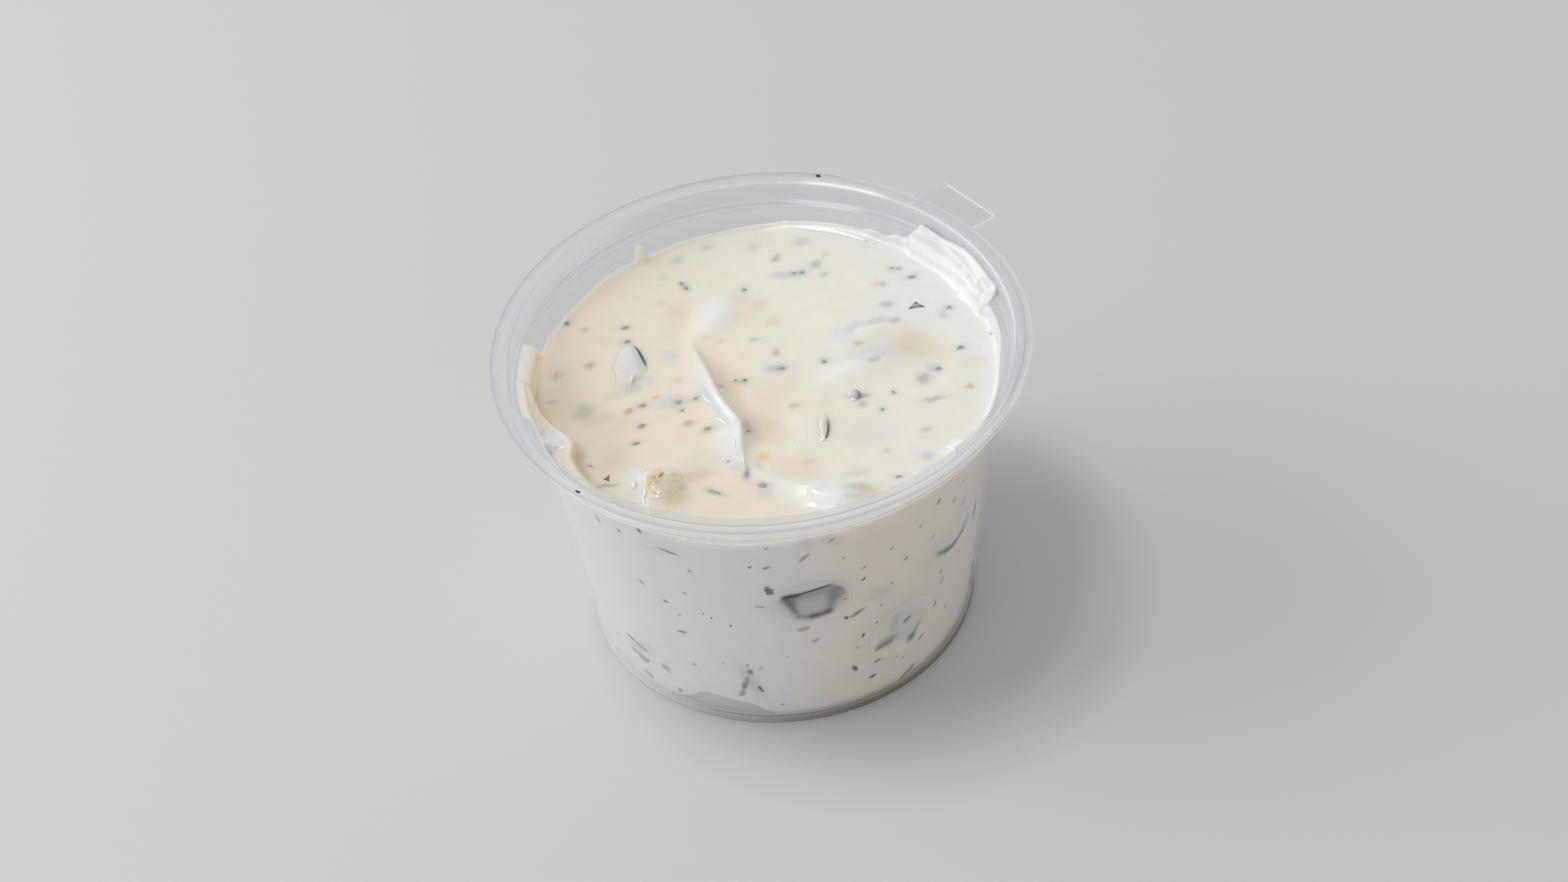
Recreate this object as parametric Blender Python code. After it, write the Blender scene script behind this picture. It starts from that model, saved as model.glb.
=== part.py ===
"""Tzatziki dip in its clear plastic portion cup.

Frame: metres, +Z up, origin at the middle of the base ring, on the surface that the cup
stands on.  +X is the right, +Y the back.  An azimuth is an angle from +Y towards +X.

The cup is one moulded piece: base ring, tapered wall, shoulder with the lid seat, flat rim
and what is left of the lid's hinge.  The dip fills it to a few millimetres below the seat,
climbs the wall in two places and is cut round the larger pieces of cucumber.
"""
import math

import bmesh
import bpy
from mathutils import Vector
from mathutils.geometry import delaunay_2d_cdt

MM = 0.001

# ---- driving dimensions: cup -------------------------------------------------------------
CUP_HEIGHT = 47.0 * MM
RIM_RADIUS = 37.0 * MM        # outer edge of the flat rim
BASE_RADIUS = 27.65 * MM      # outer wall, run down to the ground
WALL_FLARE = 0.1266           # how much the wall's radius grows for each metre of height
WALL = 0.55 * MM              # plastic, measured level
FOOT_RADIUS = 27.9 * MM       # ring that stands on the table
FOOT_WIDTH = 1.9 * MM
FOOT_HEIGHT = 1.0 * MM
BASE_UNDERSIDE = 0.7 * MM     # the base plate hangs clear of the table
BASE_TOP = 1.4 * MM
BASE_CORNER = 1.6 * MM        # inner radius between base plate and wall
SHOULDER_Z = 42.2 * MM        # underside of the step between wall and rim band
BAND_RADIUS = 34.9 * MM       # outside of the upright band that holds the lid seat
BEAD = 0.22 * MM              # small bead along the band's lower edge
SEAT_Z = 43.4 * MM            # lid seat, inside
SEAT_RADIUS = 34.4 * MM       # inner face above the seat
RIM_UNDERSIDE = 46.0 * MM
LIP_Z = 46.75 * MM            # top of the thin outer lip
CREST_RADIUS = 35.9 * MM      # the raised crest ends and the lip begins
CREST_INNER = 34.55 * MM

# ---- driving dimensions: hinge stub ------------------------------------------------------
TAB_AZIMUTH = 50.0
TAB_TURN = 4.0                # the stub is set a little askew of the radius
TAB_WIDTH = 10.6 * MM
TAB_ROOT = 36.0 * MM
TAB_TIP = 41.4 * MM
TAB_TOP = 46.6 * MM
TAB_THICKNESS = 0.45 * MM

# ---- driving dimensions: dip -------------------------------------------------------------
GAP = 0.35 * MM               # clearance between the dip and everything it touches
LEVEL = 39.75 * MM            # height of the dip on the axis
LEVEL_SLOPE_X = 0.034         # the dip lies higher on the right
LEVEL_SLOPE_Y = 0.016         # and at the back
MENISCUS = 0.7 * MM           # how far the dip clings to the wall
MENISCUS_THICKNESS = 0.45 * MM
LEAST_FILM = 0.3 * MM         # the film always reaches at least this far up
CORNER_CATCH = 0.6 * MM       # a film that ends this near a corner of the cup ends on it

# The dip climbs the wall in three places: first and last azimuth, and the degrees over which
# it fades beyond them.
SMEAR = (45.0, 76.0, 5.0)     # thick smear at the back right
SMEAR_TOP = 44.9 * MM
SMEAR_UNEVEN = 0.35 * MM
SMEAR_WAVES = 11.0
SMEAR_THICKER = 0.75 * MM
LEFT_FILM = (264.0, 283.0, 9.0)   # behind the ledge
LEFT_FILM_TOP = 43.3 * MM
LEFT_FILM_THICKER = 0.3 * MM
PEAK = (329.0, 332.0, 2.5)    # small pulled-up peak
PEAK_RISE = 1.9 * MM

SEGMENTS = 72
FILM_ROWS = 3
FLOOR_SPACING = 2.3 * MM      # between the points of the dip's open surface
FLOOR_MARGIN = 0.8 * MM       # kept clear of points inside its outer ring
CREASE_SPACING = 1.7 * MM     # between points along a fold
FOLD_POINTS = (-2.6 * MM, -1.3 * MM, 0.0, 0.7 * MM, 1.5 * MM, 2.8 * MM)
LEDGE_POINTS = (-1.2 * MM, 0.0, 1.2 * MM)
# Stretches of the wall where the dip's edge rises or falls quickly: start, end and step.
QUICK_EDGES = [(38.0, 47.0, 1.5), (75.0, 84.0, 1.5), (256.0, 264.0, 2.0), (283.0, 292.0, 1.5),
               (326.0, 335.0, 1.5)]


def azimuth_point(radius, azimuth, z):
    """A point given by its distance from the axis, azimuth in degrees and height."""
    angle = math.radians(azimuth)
    return Vector((radius * math.sin(angle), radius * math.cos(angle), z))


def smooth_step(low, high, value):
    """0 below low, 1 above high, smooth between."""
    t = min(1.0, max(0.0, (value - low) / (high - low)))
    return t * t * (3.0 - 2.0 * t)


def azimuth_window(azimuth, start, end, soft):
    """1 between two azimuths, falling to 0 over soft degrees outside them."""
    middle = 0.5 * (start + end)
    half = 0.5 * (end - start)
    off = abs((azimuth - middle + 180.0) % 360.0 - 180.0)
    return 1.0 - smooth_step(half, half + soft, off)


# ---- materials ---------------------------------------------------------------------------
def make_material(name, color, roughness, alpha=1.0):
    """A plain Principled material."""
    material = bpy.data.materials.new(name)
    material.use_nodes = True
    shader = material.node_tree.nodes["Principled BSDF"]
    shader.inputs["Base Color"].default_value = (*color, 1.0)
    shader.inputs["Roughness"].default_value = roughness
    shader.inputs["Metallic"].default_value = 0.0
    shader.inputs["Alpha"].default_value = alpha
    return material


def add_object(name, bm, material):
    """Turn a bmesh into a smooth-shaded object at the origin."""
    bmesh.ops.recalc_face_normals(bm, faces=bm.faces)
    mesh = bpy.data.meshes.new(name)
    bm.to_mesh(mesh)
    bm.free()
    mesh.shade_smooth()
    mesh.set_sharp_from_angle(angle=math.radians(35.0))
    mesh.materials.append(material)
    obj = bpy.data.objects.new(name, mesh)
    bpy.context.scene.collection.objects.link(obj)
    return obj


# ---- the cup -----------------------------------------------------------------------------
def outer_wall(z):
    """Outside radius of the tapered wall at a height."""
    return BASE_RADIUS + WALL_FLARE * z


def inner_profile():
    """Inside of the cup as (radius, height), from the base's middle to the rim's crest."""
    corner_z = BASE_TOP + BASE_CORNER
    corner_r = outer_wall(corner_z) - WALL
    points = [(0.0, BASE_TOP)]
    for step in range(4):
        angle = math.radians(90.0 * step / 3.0)
        points.append((corner_r - BASE_CORNER * (1.0 - math.sin(angle)),
                       corner_z - BASE_CORNER * math.cos(angle)))
    wall_top = SHOULDER_Z - 0.3 * MM
    points += [(outer_wall(wall_top) - WALL, wall_top),
               (outer_wall(SEAT_Z) - 0.1 * MM, SEAT_Z - 0.15 * MM),
               (SEAT_RADIUS - 0.5 * MM, SEAT_Z + 0.1 * MM),
               (SEAT_RADIUS, SEAT_Z + 0.6 * MM),
               (CREST_INNER - 0.05 * MM, CUP_HEIGHT - 0.15 * MM),
               (CREST_INNER + 0.1 * MM, CUP_HEIGHT)]
    return points


def outer_profile():
    """Outside of the cup, from the base's middle to the rim's crest."""
    foot_in = FOOT_RADIUS - FOOT_WIDTH
    round_off = 0.25 * MM
    wall_start = FOOT_HEIGHT + 0.4 * MM
    return [(0.0, BASE_UNDERSIDE),
            (foot_in - 0.5 * MM, BASE_UNDERSIDE),
            (foot_in, 0.0),
            (FOOT_RADIUS - round_off, 0.0),
            (FOOT_RADIUS, round_off),
            (FOOT_RADIUS, FOOT_HEIGHT),
            (outer_wall(wall_start), wall_start),
            (outer_wall(SHOULDER_Z - 0.4 * MM), SHOULDER_Z - 0.4 * MM),
            (outer_wall(SHOULDER_Z) + 0.4 * MM, SHOULDER_Z + 0.2 * MM),
            (BAND_RADIUS, SHOULDER_Z + 0.4 * MM),
            (BAND_RADIUS + BEAD, SHOULDER_Z + 0.7 * MM),
            (BAND_RADIUS + BEAD, SHOULDER_Z + 1.1 * MM),
            (BAND_RADIUS, SHOULDER_Z + 1.4 * MM),
            (BAND_RADIUS + 0.1 * MM, RIM_UNDERSIDE - 0.3 * MM),
            (BAND_RADIUS + 0.4 * MM, RIM_UNDERSIDE),
            (RIM_RADIUS - 0.2 * MM, RIM_UNDERSIDE + 0.1 * MM),
            (RIM_RADIUS, RIM_UNDERSIDE + 0.3 * MM),
            (RIM_RADIUS, LIP_Z - 0.15 * MM),
            (RIM_RADIUS - 0.15 * MM, LIP_Z),
            (CREST_RADIUS + 0.1 * MM, LIP_Z),
            (CREST_RADIUS - 0.15 * MM, CUP_HEIGHT)]


def lathe(profile, segments):
    """Turn a profile whose two ends lie on the axis into a closed mesh."""
    bm = bmesh.new()
    rings = []
    for radius, z in profile:
        if radius == 0.0:
            rings.append([bm.verts.new((0.0, 0.0, z))])
        else:
            rings.append([bm.verts.new(azimuth_point(radius, 360.0 * k / segments, z))
                          for k in range(segments)])
    bridge_rings(bm, rings)
    return bm


def bridge_rings(bm, rings):
    """Fill the strips between neighbouring rings; a ring may be a single point."""
    segments = max(len(ring) for ring in rings)
    for below, above in zip(rings, rings[1:]):
        for k in range(segments):
            after = (k + 1) % segments
            corners = [below[k % len(below)], below[after % len(below)],
                       above[after % len(above)], above[k % len(above)]]
            unique = list(dict.fromkeys(corners))
            if len(unique) > 2:
                bm.faces.new(unique)


def make_hinge_stub():
    """The stub of the lid's hinge: a thin flat plate that runs out from under the rim."""
    bm = bmesh.new()
    bmesh.ops.create_cube(bm, size=1.0)
    middle = 0.5 * (TAB_ROOT + TAB_TIP)
    for vert in bm.verts:
        across = vert.co.x * TAB_WIDTH
        along = vert.co.y * (TAB_TIP - TAB_ROOT)
        turn = math.radians(TAB_TURN)
        side = across * math.cos(turn) + along * math.sin(turn)
        out = middle + along * math.cos(turn) - across * math.sin(turn)
        angle = math.radians(TAB_AZIMUTH)
        vert.co = Vector((out * math.sin(angle) + side * math.cos(angle),
                          out * math.cos(angle) - side * math.sin(angle),
                          TAB_TOP + (vert.co.z - 0.5) * TAB_THICKNESS))
    return bm


def make_cup(material):
    """The cup with its hinge stub, as one solid."""
    profile = outer_profile() + list(reversed(inner_profile()))
    cup = add_object("cup", lathe(profile, SEGMENTS), material)
    stub = add_object("hinge_stub", make_hinge_stub(), material)
    apply_boolean(cup, stub, "UNION")
    return cup


def apply_boolean(target, tool, operation):
    """Join a tool to a target or cut the target with it, and drop the tool."""
    modifier = target.modifiers.new(operation.title(), "BOOLEAN")
    modifier.operation = operation
    modifier.solver = "EXACT"
    modifier.object = tool
    depsgraph = bpy.context.evaluated_depsgraph_get()
    result = bpy.data.meshes.new_from_object(target.evaluated_get(depsgraph))
    target.modifiers.remove(modifier)
    old = target.data
    target.data = result
    bpy.data.meshes.remove(old)
    bpy.data.objects.remove(tool)


# ---- the dip's surface -------------------------------------------------------------------
# Broad swells and hollows: x, y, radius and height, in millimetres.
SWELLS = [
    (-27.0, 4.0, 8.0, -0.7),
    (-6.5, 13.0, 3.6, 0.55),
    (-11.0, 14.5, 3.0, -0.25),
    (-12.0, -3.0, 7.0, 0.25),
    (0.5, -9.0, 4.0, -0.35),
    (2.0, 14.0, 6.0, -0.2),
    (8.0, -2.5, 4.5, 0.55),
    (14.5, 5.5, 3.4, 0.35),
    (21.5, 1.5, 5.0, -0.55),
    (13.0, 2.0, 2.6, -0.3),
    (6.5, -25.0, 4.5, 1.3),
    (-17.8, -18.5, 2.2, 0.8),
    (-20.0, -10.0, 5.0, -0.3),
    (12.0, -20.0, 7.0, 0.2),
]

# The long fold: its crest line, from the back to the front, and its section.
FOLD_LINE = [(-9.5 * MM, 8.5 * MM), (-7.6 * MM, 2.5 * MM), (-6.5 * MM, -3.5 * MM),
             (-4.6 * MM, -9.5 * MM), (-3.9 * MM, -17.0 * MM), (3.5 * MM, -22.5 * MM)]
FOLD_HEIGHT = 1.35 * MM
FOLD_LEFT = 2.3 * MM          # gentle side
FOLD_RIGHT = 0.9 * MM         # steep side
FOLD_TROUGH = 0.45 * MM       # hollow beside the steep side
FOLD_TROUGH_AT = 2.4 * MM
FOLD_TROUGH_WIDTH = 1.6 * MM

# The ledge of dip that was left standing along the wall on the left: its inner edge.
LEDGE_LINE = [(-32.8 * MM, 4.0 * MM), (-31.3 * MM, -2.0 * MM), (-27.4 * MM, -7.6 * MM),
              (-26.4 * MM, -12.5 * MM), (-23.0 * MM, -17.5 * MM)]
LEDGE_HEIGHT = 2.5 * MM
LEDGE_SOFT = 0.9 * MM


def line_position(line, x, y):
    """Where a spot lies beside a line that runs to the front, all in metres.

    Returns the share of the line's length at its nearest point, and the distance from it,
    positive on the right-hand side of the cup.
    """
    nearest = None
    passed = 0.0
    whole = sum(math.dist(a, b) for a, b in zip(line, line[1:]))
    for start, end in zip(line, line[1:]):
        length = math.dist(start, end)
        dx = (end[0] - start[0]) / length
        dy = (end[1] - start[1]) / length
        along = min(length, max(0.0, (x - start[0]) * dx + (y - start[1]) * dy))
        away_x = x - (start[0] + along * dx)
        away_y = y - (start[1] + along * dy)
        distance = math.hypot(away_x, away_y)
        if nearest is None or distance < nearest[0]:
            side = 1.0 if dx * away_y - dy * away_x > 0.0 else -1.0
            nearest = (distance, side, (passed + along) / whole)
        passed += length
    distance, side, share = nearest
    return share, side * distance


def fold_height(x, y):
    """The long fold: a crest with a gentle left side and a steep right side."""
    share, offset = line_position(FOLD_LINE, x, y)
    strength = smooth_step(0.0, 0.22, share) * (1.0 - 0.75 * smooth_step(0.6, 0.95, share))
    width = FOLD_LEFT if offset < 0.0 else FOLD_RIGHT
    crest = FOLD_HEIGHT * math.exp(-(offset / width) ** 2)
    trough = FOLD_TROUGH * math.exp(-((offset - FOLD_TROUGH_AT) / FOLD_TROUGH_WIDTH) ** 2)
    return strength * (crest - trough)


def ledge_height(x, y):
    """The step of dip left standing between its inner edge and the wall, on the left."""
    share, offset = line_position(LEDGE_LINE, x, y)
    strength = 1.0 - 0.9 * smooth_step(0.65, 1.0, share)
    return LEDGE_HEIGHT * strength * smooth_step(-LEDGE_SOFT, LEDGE_SOFT, -offset)


def dip_height(x, y):
    """Height of the dip's surface, away from the film on the wall."""
    height = LEVEL + LEVEL_SLOPE_X * x + LEVEL_SLOPE_Y * y
    for swell_x, swell_y, radius, rise in SWELLS:
        reach = math.hypot(x / MM - swell_x, y / MM - swell_y) / radius
        height += rise * MM * math.exp(-reach * reach)
    return height + fold_height(x, y) + ledge_height(x, y)


# ---- the film that climbs the wall -------------------------------------------------------
def film_top(azimuth, edge_z):
    """Height up to which the dip clings to the cup."""
    top = edge_z + MENISCUS
    uneven = SMEAR_UNEVEN * math.sin(math.radians(azimuth * SMEAR_WAVES))
    top += azimuth_window(azimuth, *SMEAR) * (SMEAR_TOP + uneven - top)
    top += azimuth_window(azimuth, *LEFT_FILM) * (LEFT_FILM_TOP - top)
    return top + azimuth_window(azimuth, *PEAK) * PEAK_RISE


def film_thickness(azimuth):
    """Thickness of the film at its foot."""
    thick = MENISCUS_THICKNESS + azimuth_window(azimuth, *SMEAR) * SMEAR_THICKER
    return thick + azimuth_window(azimuth, *LEFT_FILM) * LEFT_FILM_THICKER


def offset_inwards(profile, distance):
    """The cup's inside moved inwards, as a list of (radius, height) from the middle out."""
    moved = []
    last = len(profile) - 1
    for k, (radius, z) in enumerate(profile):
        before = profile[max(k - 1, 0)]
        after = profile[min(k + 1, last)]
        run = Vector((after[0] - before[0], after[1] - before[1])).normalized()
        shift = (0.0, distance) if radius == 0.0 else (-run.y * distance, run.x * distance)
        moved.append((radius + shift[0], z + shift[1]))
    return moved


def radius_at(profile, z):
    """Radius of a profile at a height, measured on its rising part."""
    for (r0, z0), (r1, z1) in zip(profile[1:], profile[2:]):
        if z0 <= z <= z1 and z1 > z0:
            return r0 + (r1 - r0) * (z - z0) / (z1 - z0)
    return profile[-1][0]


def snap_to_corner(z, profile):
    """Move a height to a nearby corner of the profile, so that no facet spans the corner."""
    nearest = min((corner[1] for corner in profile), key=lambda corner_z: abs(corner_z - z))
    return nearest if abs(nearest - z) < CORNER_CATCH else z


def dip_azimuths():
    """Azimuths of the dip's half sections: even steps, closer together at the quick edges."""
    angles = [360.0 * k / SEGMENTS for k in range(SEGMENTS)]
    for start, end, step in QUICK_EDGES:
        angles = [angle for angle in angles if not start - 0.5 * step < angle < end + 0.5 * step]
        count = round((end - start) / step)
        angles += [start + step * k for k in range(count + 1)]
    return sorted(angles)


def dip_column(azimuth, profile):
    """One half section of the dip, from the foot of the film over its top to the underside."""
    edge_z = LEVEL
    for _ in range(4):
        reach = radius_at(profile, edge_z) - film_thickness(azimuth)
        probe = azimuth_point(reach, azimuth, 0.0)
        edge_z = dip_height(probe.x, probe.y)
    top_z = snap_to_corner(max(film_top(azimuth, edge_z), edge_z + LEAST_FILM), profile)
    column = [(reach, edge_z)]
    for row in range(1, FILM_ROWS + 1):
        share = row / (FILM_ROWS + 1)
        z = edge_z + share * (top_z - edge_z)
        column.append((radius_at(profile, z) - film_thickness(azimuth) * (1.0 - share) ** 0.6, z))
    column.append((radius_at(profile, top_z), top_z))
    for radius, z in reversed(profile[1:]):
        column.append((radius, z) if z < top_z else column[-1])
    return column


def line_samples(line, offsets, spacing):
    """Points along a line and beside it, so that facets follow a fold."""
    samples = []
    for start, end in zip(line, line[1:]):
        length = math.dist(start, end)
        dx = (end[0] - start[0]) / length
        dy = (end[1] - start[1]) / length
        count = max(1, round(length / spacing))
        for step in range(count):
            along = length * (step + 0.5) / count
            for offset in offsets:
                samples.append((start[0] + along * dx - offset * dy,
                                start[1] + along * dy + offset * dx))
    return samples


def fill_floor(bm, ring):
    """Triangulate the dip's open surface inside its outer ring."""
    edge = [(vert.co.x, vert.co.y) for vert in ring]
    limit = min(math.hypot(x, y) for x, y in edge) - FLOOR_MARGIN
    creases = line_samples(FOLD_LINE, FOLD_POINTS, CREASE_SPACING)
    creases += line_samples(LEDGE_LINE, LEDGE_POINTS, CREASE_SPACING)
    creases = [spot for spot in creases if math.hypot(*spot) < limit]
    inside = list(creases)
    rows = math.ceil(RIM_RADIUS / FLOOR_SPACING)
    for row in range(-rows, rows + 1):
        for place_in_row in range(-rows, rows + 1):
            spot = ((place_in_row + 0.5 * (row % 2)) * FLOOR_SPACING, row * FLOOR_SPACING * 0.866)
            clear = all(math.dist(spot, crease) > 0.6 * FLOOR_SPACING for crease in creases)
            if math.hypot(*spot) < limit and clear:
                inside.append(spot)
    count = len(edge)
    borders = [(k, (k + 1) % count) for k in range(count)]
    spots = [Vector(spot) for spot in edge + inside]
    flat, _, faces, origins, _, _ = delaunay_2d_cdt(spots, borders, [], 1, 1e-7)
    lifted = []
    for spot, origin in zip(flat, origins):
        if origin[0] < count:
            lifted.append(ring[origin[0]])
        else:
            lifted.append(bm.verts.new((spot.x, spot.y, dip_height(spot.x, spot.y))))
    for face in faces:
        bm.faces.new([lifted[k] for k in face])


def make_dip(material):
    """The dip as one closed solid that follows the cup's inside."""
    profile = offset_inwards(inner_profile(), GAP)
    azimuths = dip_azimuths()
    columns = [dip_column(azimuth, profile) for azimuth in azimuths]
    bm = bmesh.new()
    rings = []
    for row in range(len(columns[0])):
        rings.append([bm.verts.new(azimuth_point(column[row][0], azimuth, column[row][1]))
                      for column, azimuth in zip(columns, azimuths)])
    fill_floor(bm, rings[0])
    rings.append([bm.verts.new((0.0, 0.0, profile[0][1]))])
    bridge_rings(bm, rings)
    bmesh.ops.remove_doubles(bm, verts=bm.verts, dist=1e-6)
    return add_object("dip", bm, material)


# ---- cucumber ----------------------------------------------------------------------------
CUT_CLEARANCE = 0.32 * MM     # between a piece and the dip that is cut round it
CUTTER_OVERRUN = 0.4 * MM     # how far a wall piece's cutter runs out past the dip


def make_slice(name, material, centre, turn, tip, length, bulge, thickness, grow=0.0):
    """A piece cut from the rim of a cucumber slice: straight on one side, round on the other.

    centre is the middle of the straight side, turn its heading in the plan, and tip how far
    the round side is lifted.  grow makes everything larger by a margin, for a cutter.
    """
    steps = 8
    outline = []
    for k in range(steps + 1):
        angle = math.pi * k / steps
        outline.append(((bulge + grow) * math.sin(angle) ** 0.8,
                        (0.5 * length + grow) * math.cos(angle)))
    bm = bmesh.new()
    layers = []
    half = 0.5 * thickness + grow
    for layer, inset in ((-half, 0.88), (-0.6 * half, 1.0), (0.6 * half, 1.0), (half, 0.88)):
        ring = []
        for out, along in outline:
            ring.append(bm.verts.new((out * inset - grow, along * inset, layer)))
        layers.append(ring)
    count = steps + 1
    for below, above in zip(layers, layers[1:]):
        for k in range(count):
            after = (k + 1) % count
            bm.faces.new((below[k], below[after], above[after], above[k]))
    bm.faces.new(list(reversed(layers[0])))
    bm.faces.new(layers[-1])
    place(bm, centre, turn, tip)
    return add_object(name, bm, material)


def place(bm, centre, turn, tip):
    """Tip a mesh about its own Y, turn it about Z and move it to its centre."""
    tip_angle = math.radians(tip)
    turn_angle = math.radians(turn)
    for vert in bm.verts:
        x, y, z = vert.co
        lifted_x = x * math.cos(tip_angle) - z * math.sin(tip_angle)
        lifted_z = x * math.sin(tip_angle) + z * math.cos(tip_angle)
        vert.co = Vector((lifted_x * math.cos(turn_angle) - y * math.sin(turn_angle),
                          lifted_x * math.sin(turn_angle) + y * math.cos(turn_angle),
                          lifted_z)) + Vector(centre)


def make_core(name, material, centre, size, grow=0.0):
    """A soft lump of the cucumber's seedy core, with shallow lobes."""
    bm = bmesh.new()
    bmesh.ops.create_icosphere(bm, subdivisions=2, radius=1.0)
    for vert in bm.verts:
        angle = math.atan2(vert.co.y, vert.co.x)
        lobes = 1.0 + 0.09 * math.sin(3.0 * angle + 0.6) + 0.05 * math.sin(5.0 * angle)
        vert.co = Vector((vert.co.x * lobes * (0.5 * size[0] + grow),
                          vert.co.y * lobes * (0.5 * size[1] + grow),
                          vert.co.z * (0.5 * size[2] + grow))) + Vector(centre)
    return add_object(name, bm, material)


def grown_outline(corners, margin):
    """A closed outline of (across, up) corners, each moved outwards by a margin."""
    count = len(corners)
    area = sum(corners[k - 1][0] * corners[k][1] - corners[k][0] * corners[k - 1][1]
               for k in range(count))
    outward = 1.0 if area > 0.0 else -1.0
    moved = []
    for k, (across, up) in enumerate(corners):
        before = Vector(corners[k]) - Vector(corners[k - 1])
        after = Vector(corners[(k + 1) % count]) - Vector(corners[k])
        before.normalize()
        after.normalize()
        normal = Vector((before.y + after.y, -before.x - after.x)) * outward
        normal.normalize()
        stretch = max(0.5, normal.x * before.y * outward - normal.y * before.x * outward)
        moved.append((across + normal.x * margin / stretch, up + normal.y * margin / stretch))
    return moved


def make_wall_piece(name, material, outline, depth, grow=0.0):
    """A piece of cucumber that lies against the inside of the cup.

    outline holds (azimuth, height in millimetres) corners; the piece follows the wall and is
    depth thick.  A cutter grows by a margin all round and runs out past the dip.
    """
    bm = bmesh.new()
    middle_azimuth = sum(corner[0] for corner in outline) / len(outline)
    middle_z = sum(corner[1] for corner in outline) / len(outline) * MM
    middle_radius = outer_wall(middle_z)
    corners = [(math.radians(azimuth - middle_azimuth) * middle_radius, height * MM - middle_z)
               for azimuth, height in outline]
    layers = []
    outside = GAP if grow == 0.0 else -CUTTER_OVERRUN
    taper = 0.12 * depth
    for inward, margin in ((outside, grow), (GAP + 0.6 * depth, grow),
                           (GAP + depth + grow, grow - taper)):
        ring = []
        for across, up in grown_outline(corners, margin):
            z = middle_z + up
            azimuth = middle_azimuth + math.degrees(across / middle_radius)
            ring.append(bm.verts.new(azimuth_point(outer_wall(z) - WALL - inward, azimuth, z)))
        layers.append(ring)
    count = len(outline)
    for below, above in zip(layers, layers[1:]):
        for k in range(count):
            after = (k + 1) % count
            bm.faces.new((below[k], below[after], above[after], above[k]))
    bm.faces.new(list(reversed(layers[0])))
    bm.faces.new(layers[-1])
    return add_object(name, bm, material)


def crescent(middle, radius, thickness, start, end, steps):
    """Corners of a crescent on the wall: (azimuth, height in millimetres)."""
    degrees_per_mm = 1.85
    corners = []
    for k in range(steps + 1):
        angle = math.radians(start + (end - start) * k / steps)
        corners.append((middle[0] - degrees_per_mm * radius * math.cos(angle),
                        middle[1] + radius * math.sin(angle)))
    for k in range(steps - 1, 0, -1):
        angle = math.radians(start + (end - start) * k / steps)
        bow = radius - thickness * math.sin(math.pi * k / steps)
        corners.append((middle[0] - degrees_per_mm * bow * math.cos(angle),
                        middle[1] + bow * math.sin(angle)))
    return corners


WALL_PIECES = {
    "cucumber_wall_front": ([(181.0, 28.6), (178.5, 23.9), (169.5, 23.4), (166.5, 30.2),
                             (173.0, 29.8)], 2.6 * MM),
    "cucumber_wall_right": ([(155.5, 12.0), (152.0, 18.0), (143.0, 19.6), (139.5, 14.0),
                             (143.0, 10.2), (149.0, 11.6)], 2.6 * MM),
    "cucumber_wall_high": (crescent((134.0, 31.5), 8.2, 2.6, -40.0, -155.0, 5), 1.6 * MM),
}


def make_cucumber(material):
    """Each larger piece of cucumber and the cutter that makes room for it in the dip."""
    cutters = []
    pieces = [
        (make_slice, "cucumber_left", dict(
            centre=(-18.9 * MM, 4.9 * MM, 39.2 * MM), turn=-15.0, tip=24.0,
            length=8.4 * MM, bulge=3.1 * MM, thickness=1.7 * MM)),
        (make_slice, "cucumber_sliver", dict(
            centre=(7.1 * MM, -12.3 * MM, 39.4 * MM), turn=-4.0, tip=62.0,
            length=5.6 * MM, bulge=1.5 * MM, thickness=1.0 * MM)),
        (make_core, "cucumber_core", dict(
            centre=(-14.3 * MM, -19.2 * MM, 38.9 * MM), size=(5.4 * MM, 6.6 * MM, 2.9 * MM))),
    ]
    for name, (outline, depth) in WALL_PIECES.items():
        pieces.append((make_wall_piece, name, dict(outline=outline, depth=depth)))
    for make, name, sizes in pieces:
        make(name, material, **sizes)
        cutters.append(make(name + "_cutter", material, grow=CUT_CLEARANCE, **sizes))
    return cutters


def clear_scene():
    """Start from an empty scene."""
    for obj in list(bpy.data.objects):
        bpy.data.objects.remove(obj)


def main():
    """Build every piece."""
    clear_scene()
    plastic = make_material("clear_plastic", (0.80, 0.80, 0.83), 0.22, alpha=0.35)
    yoghurt = make_material("yoghurt", (0.80, 0.76, 0.66), 0.30)
    cucumber = make_material("cucumber", (0.36, 0.44, 0.24), 0.35)
    make_cup(plastic)
    dip = make_dip(yoghurt)
    for cutter in make_cucumber(cucumber):
        apply_boolean(dip, cutter, "DIFFERENCE")


main()
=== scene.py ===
"""Looks of the cup of tzatziki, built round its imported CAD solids.

Frame: metres, +Z up, +X right, +Y back, origin under the middle of the base.  An azimuth is
an angle in degrees from +Y towards +X.  Shape functions work in millimetres.
"""
import math
import random

import bmesh
import bpy
import numpy as np
from mathutils import Matrix, Vector, noise


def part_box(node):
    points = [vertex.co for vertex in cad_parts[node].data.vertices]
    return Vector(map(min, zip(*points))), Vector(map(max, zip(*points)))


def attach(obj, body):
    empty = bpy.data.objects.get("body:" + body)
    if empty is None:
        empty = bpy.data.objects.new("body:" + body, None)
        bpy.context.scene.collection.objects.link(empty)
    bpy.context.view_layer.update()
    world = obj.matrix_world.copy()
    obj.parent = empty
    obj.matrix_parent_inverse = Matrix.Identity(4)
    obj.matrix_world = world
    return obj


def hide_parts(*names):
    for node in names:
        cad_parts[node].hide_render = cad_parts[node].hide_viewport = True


MM = 0.001

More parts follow.
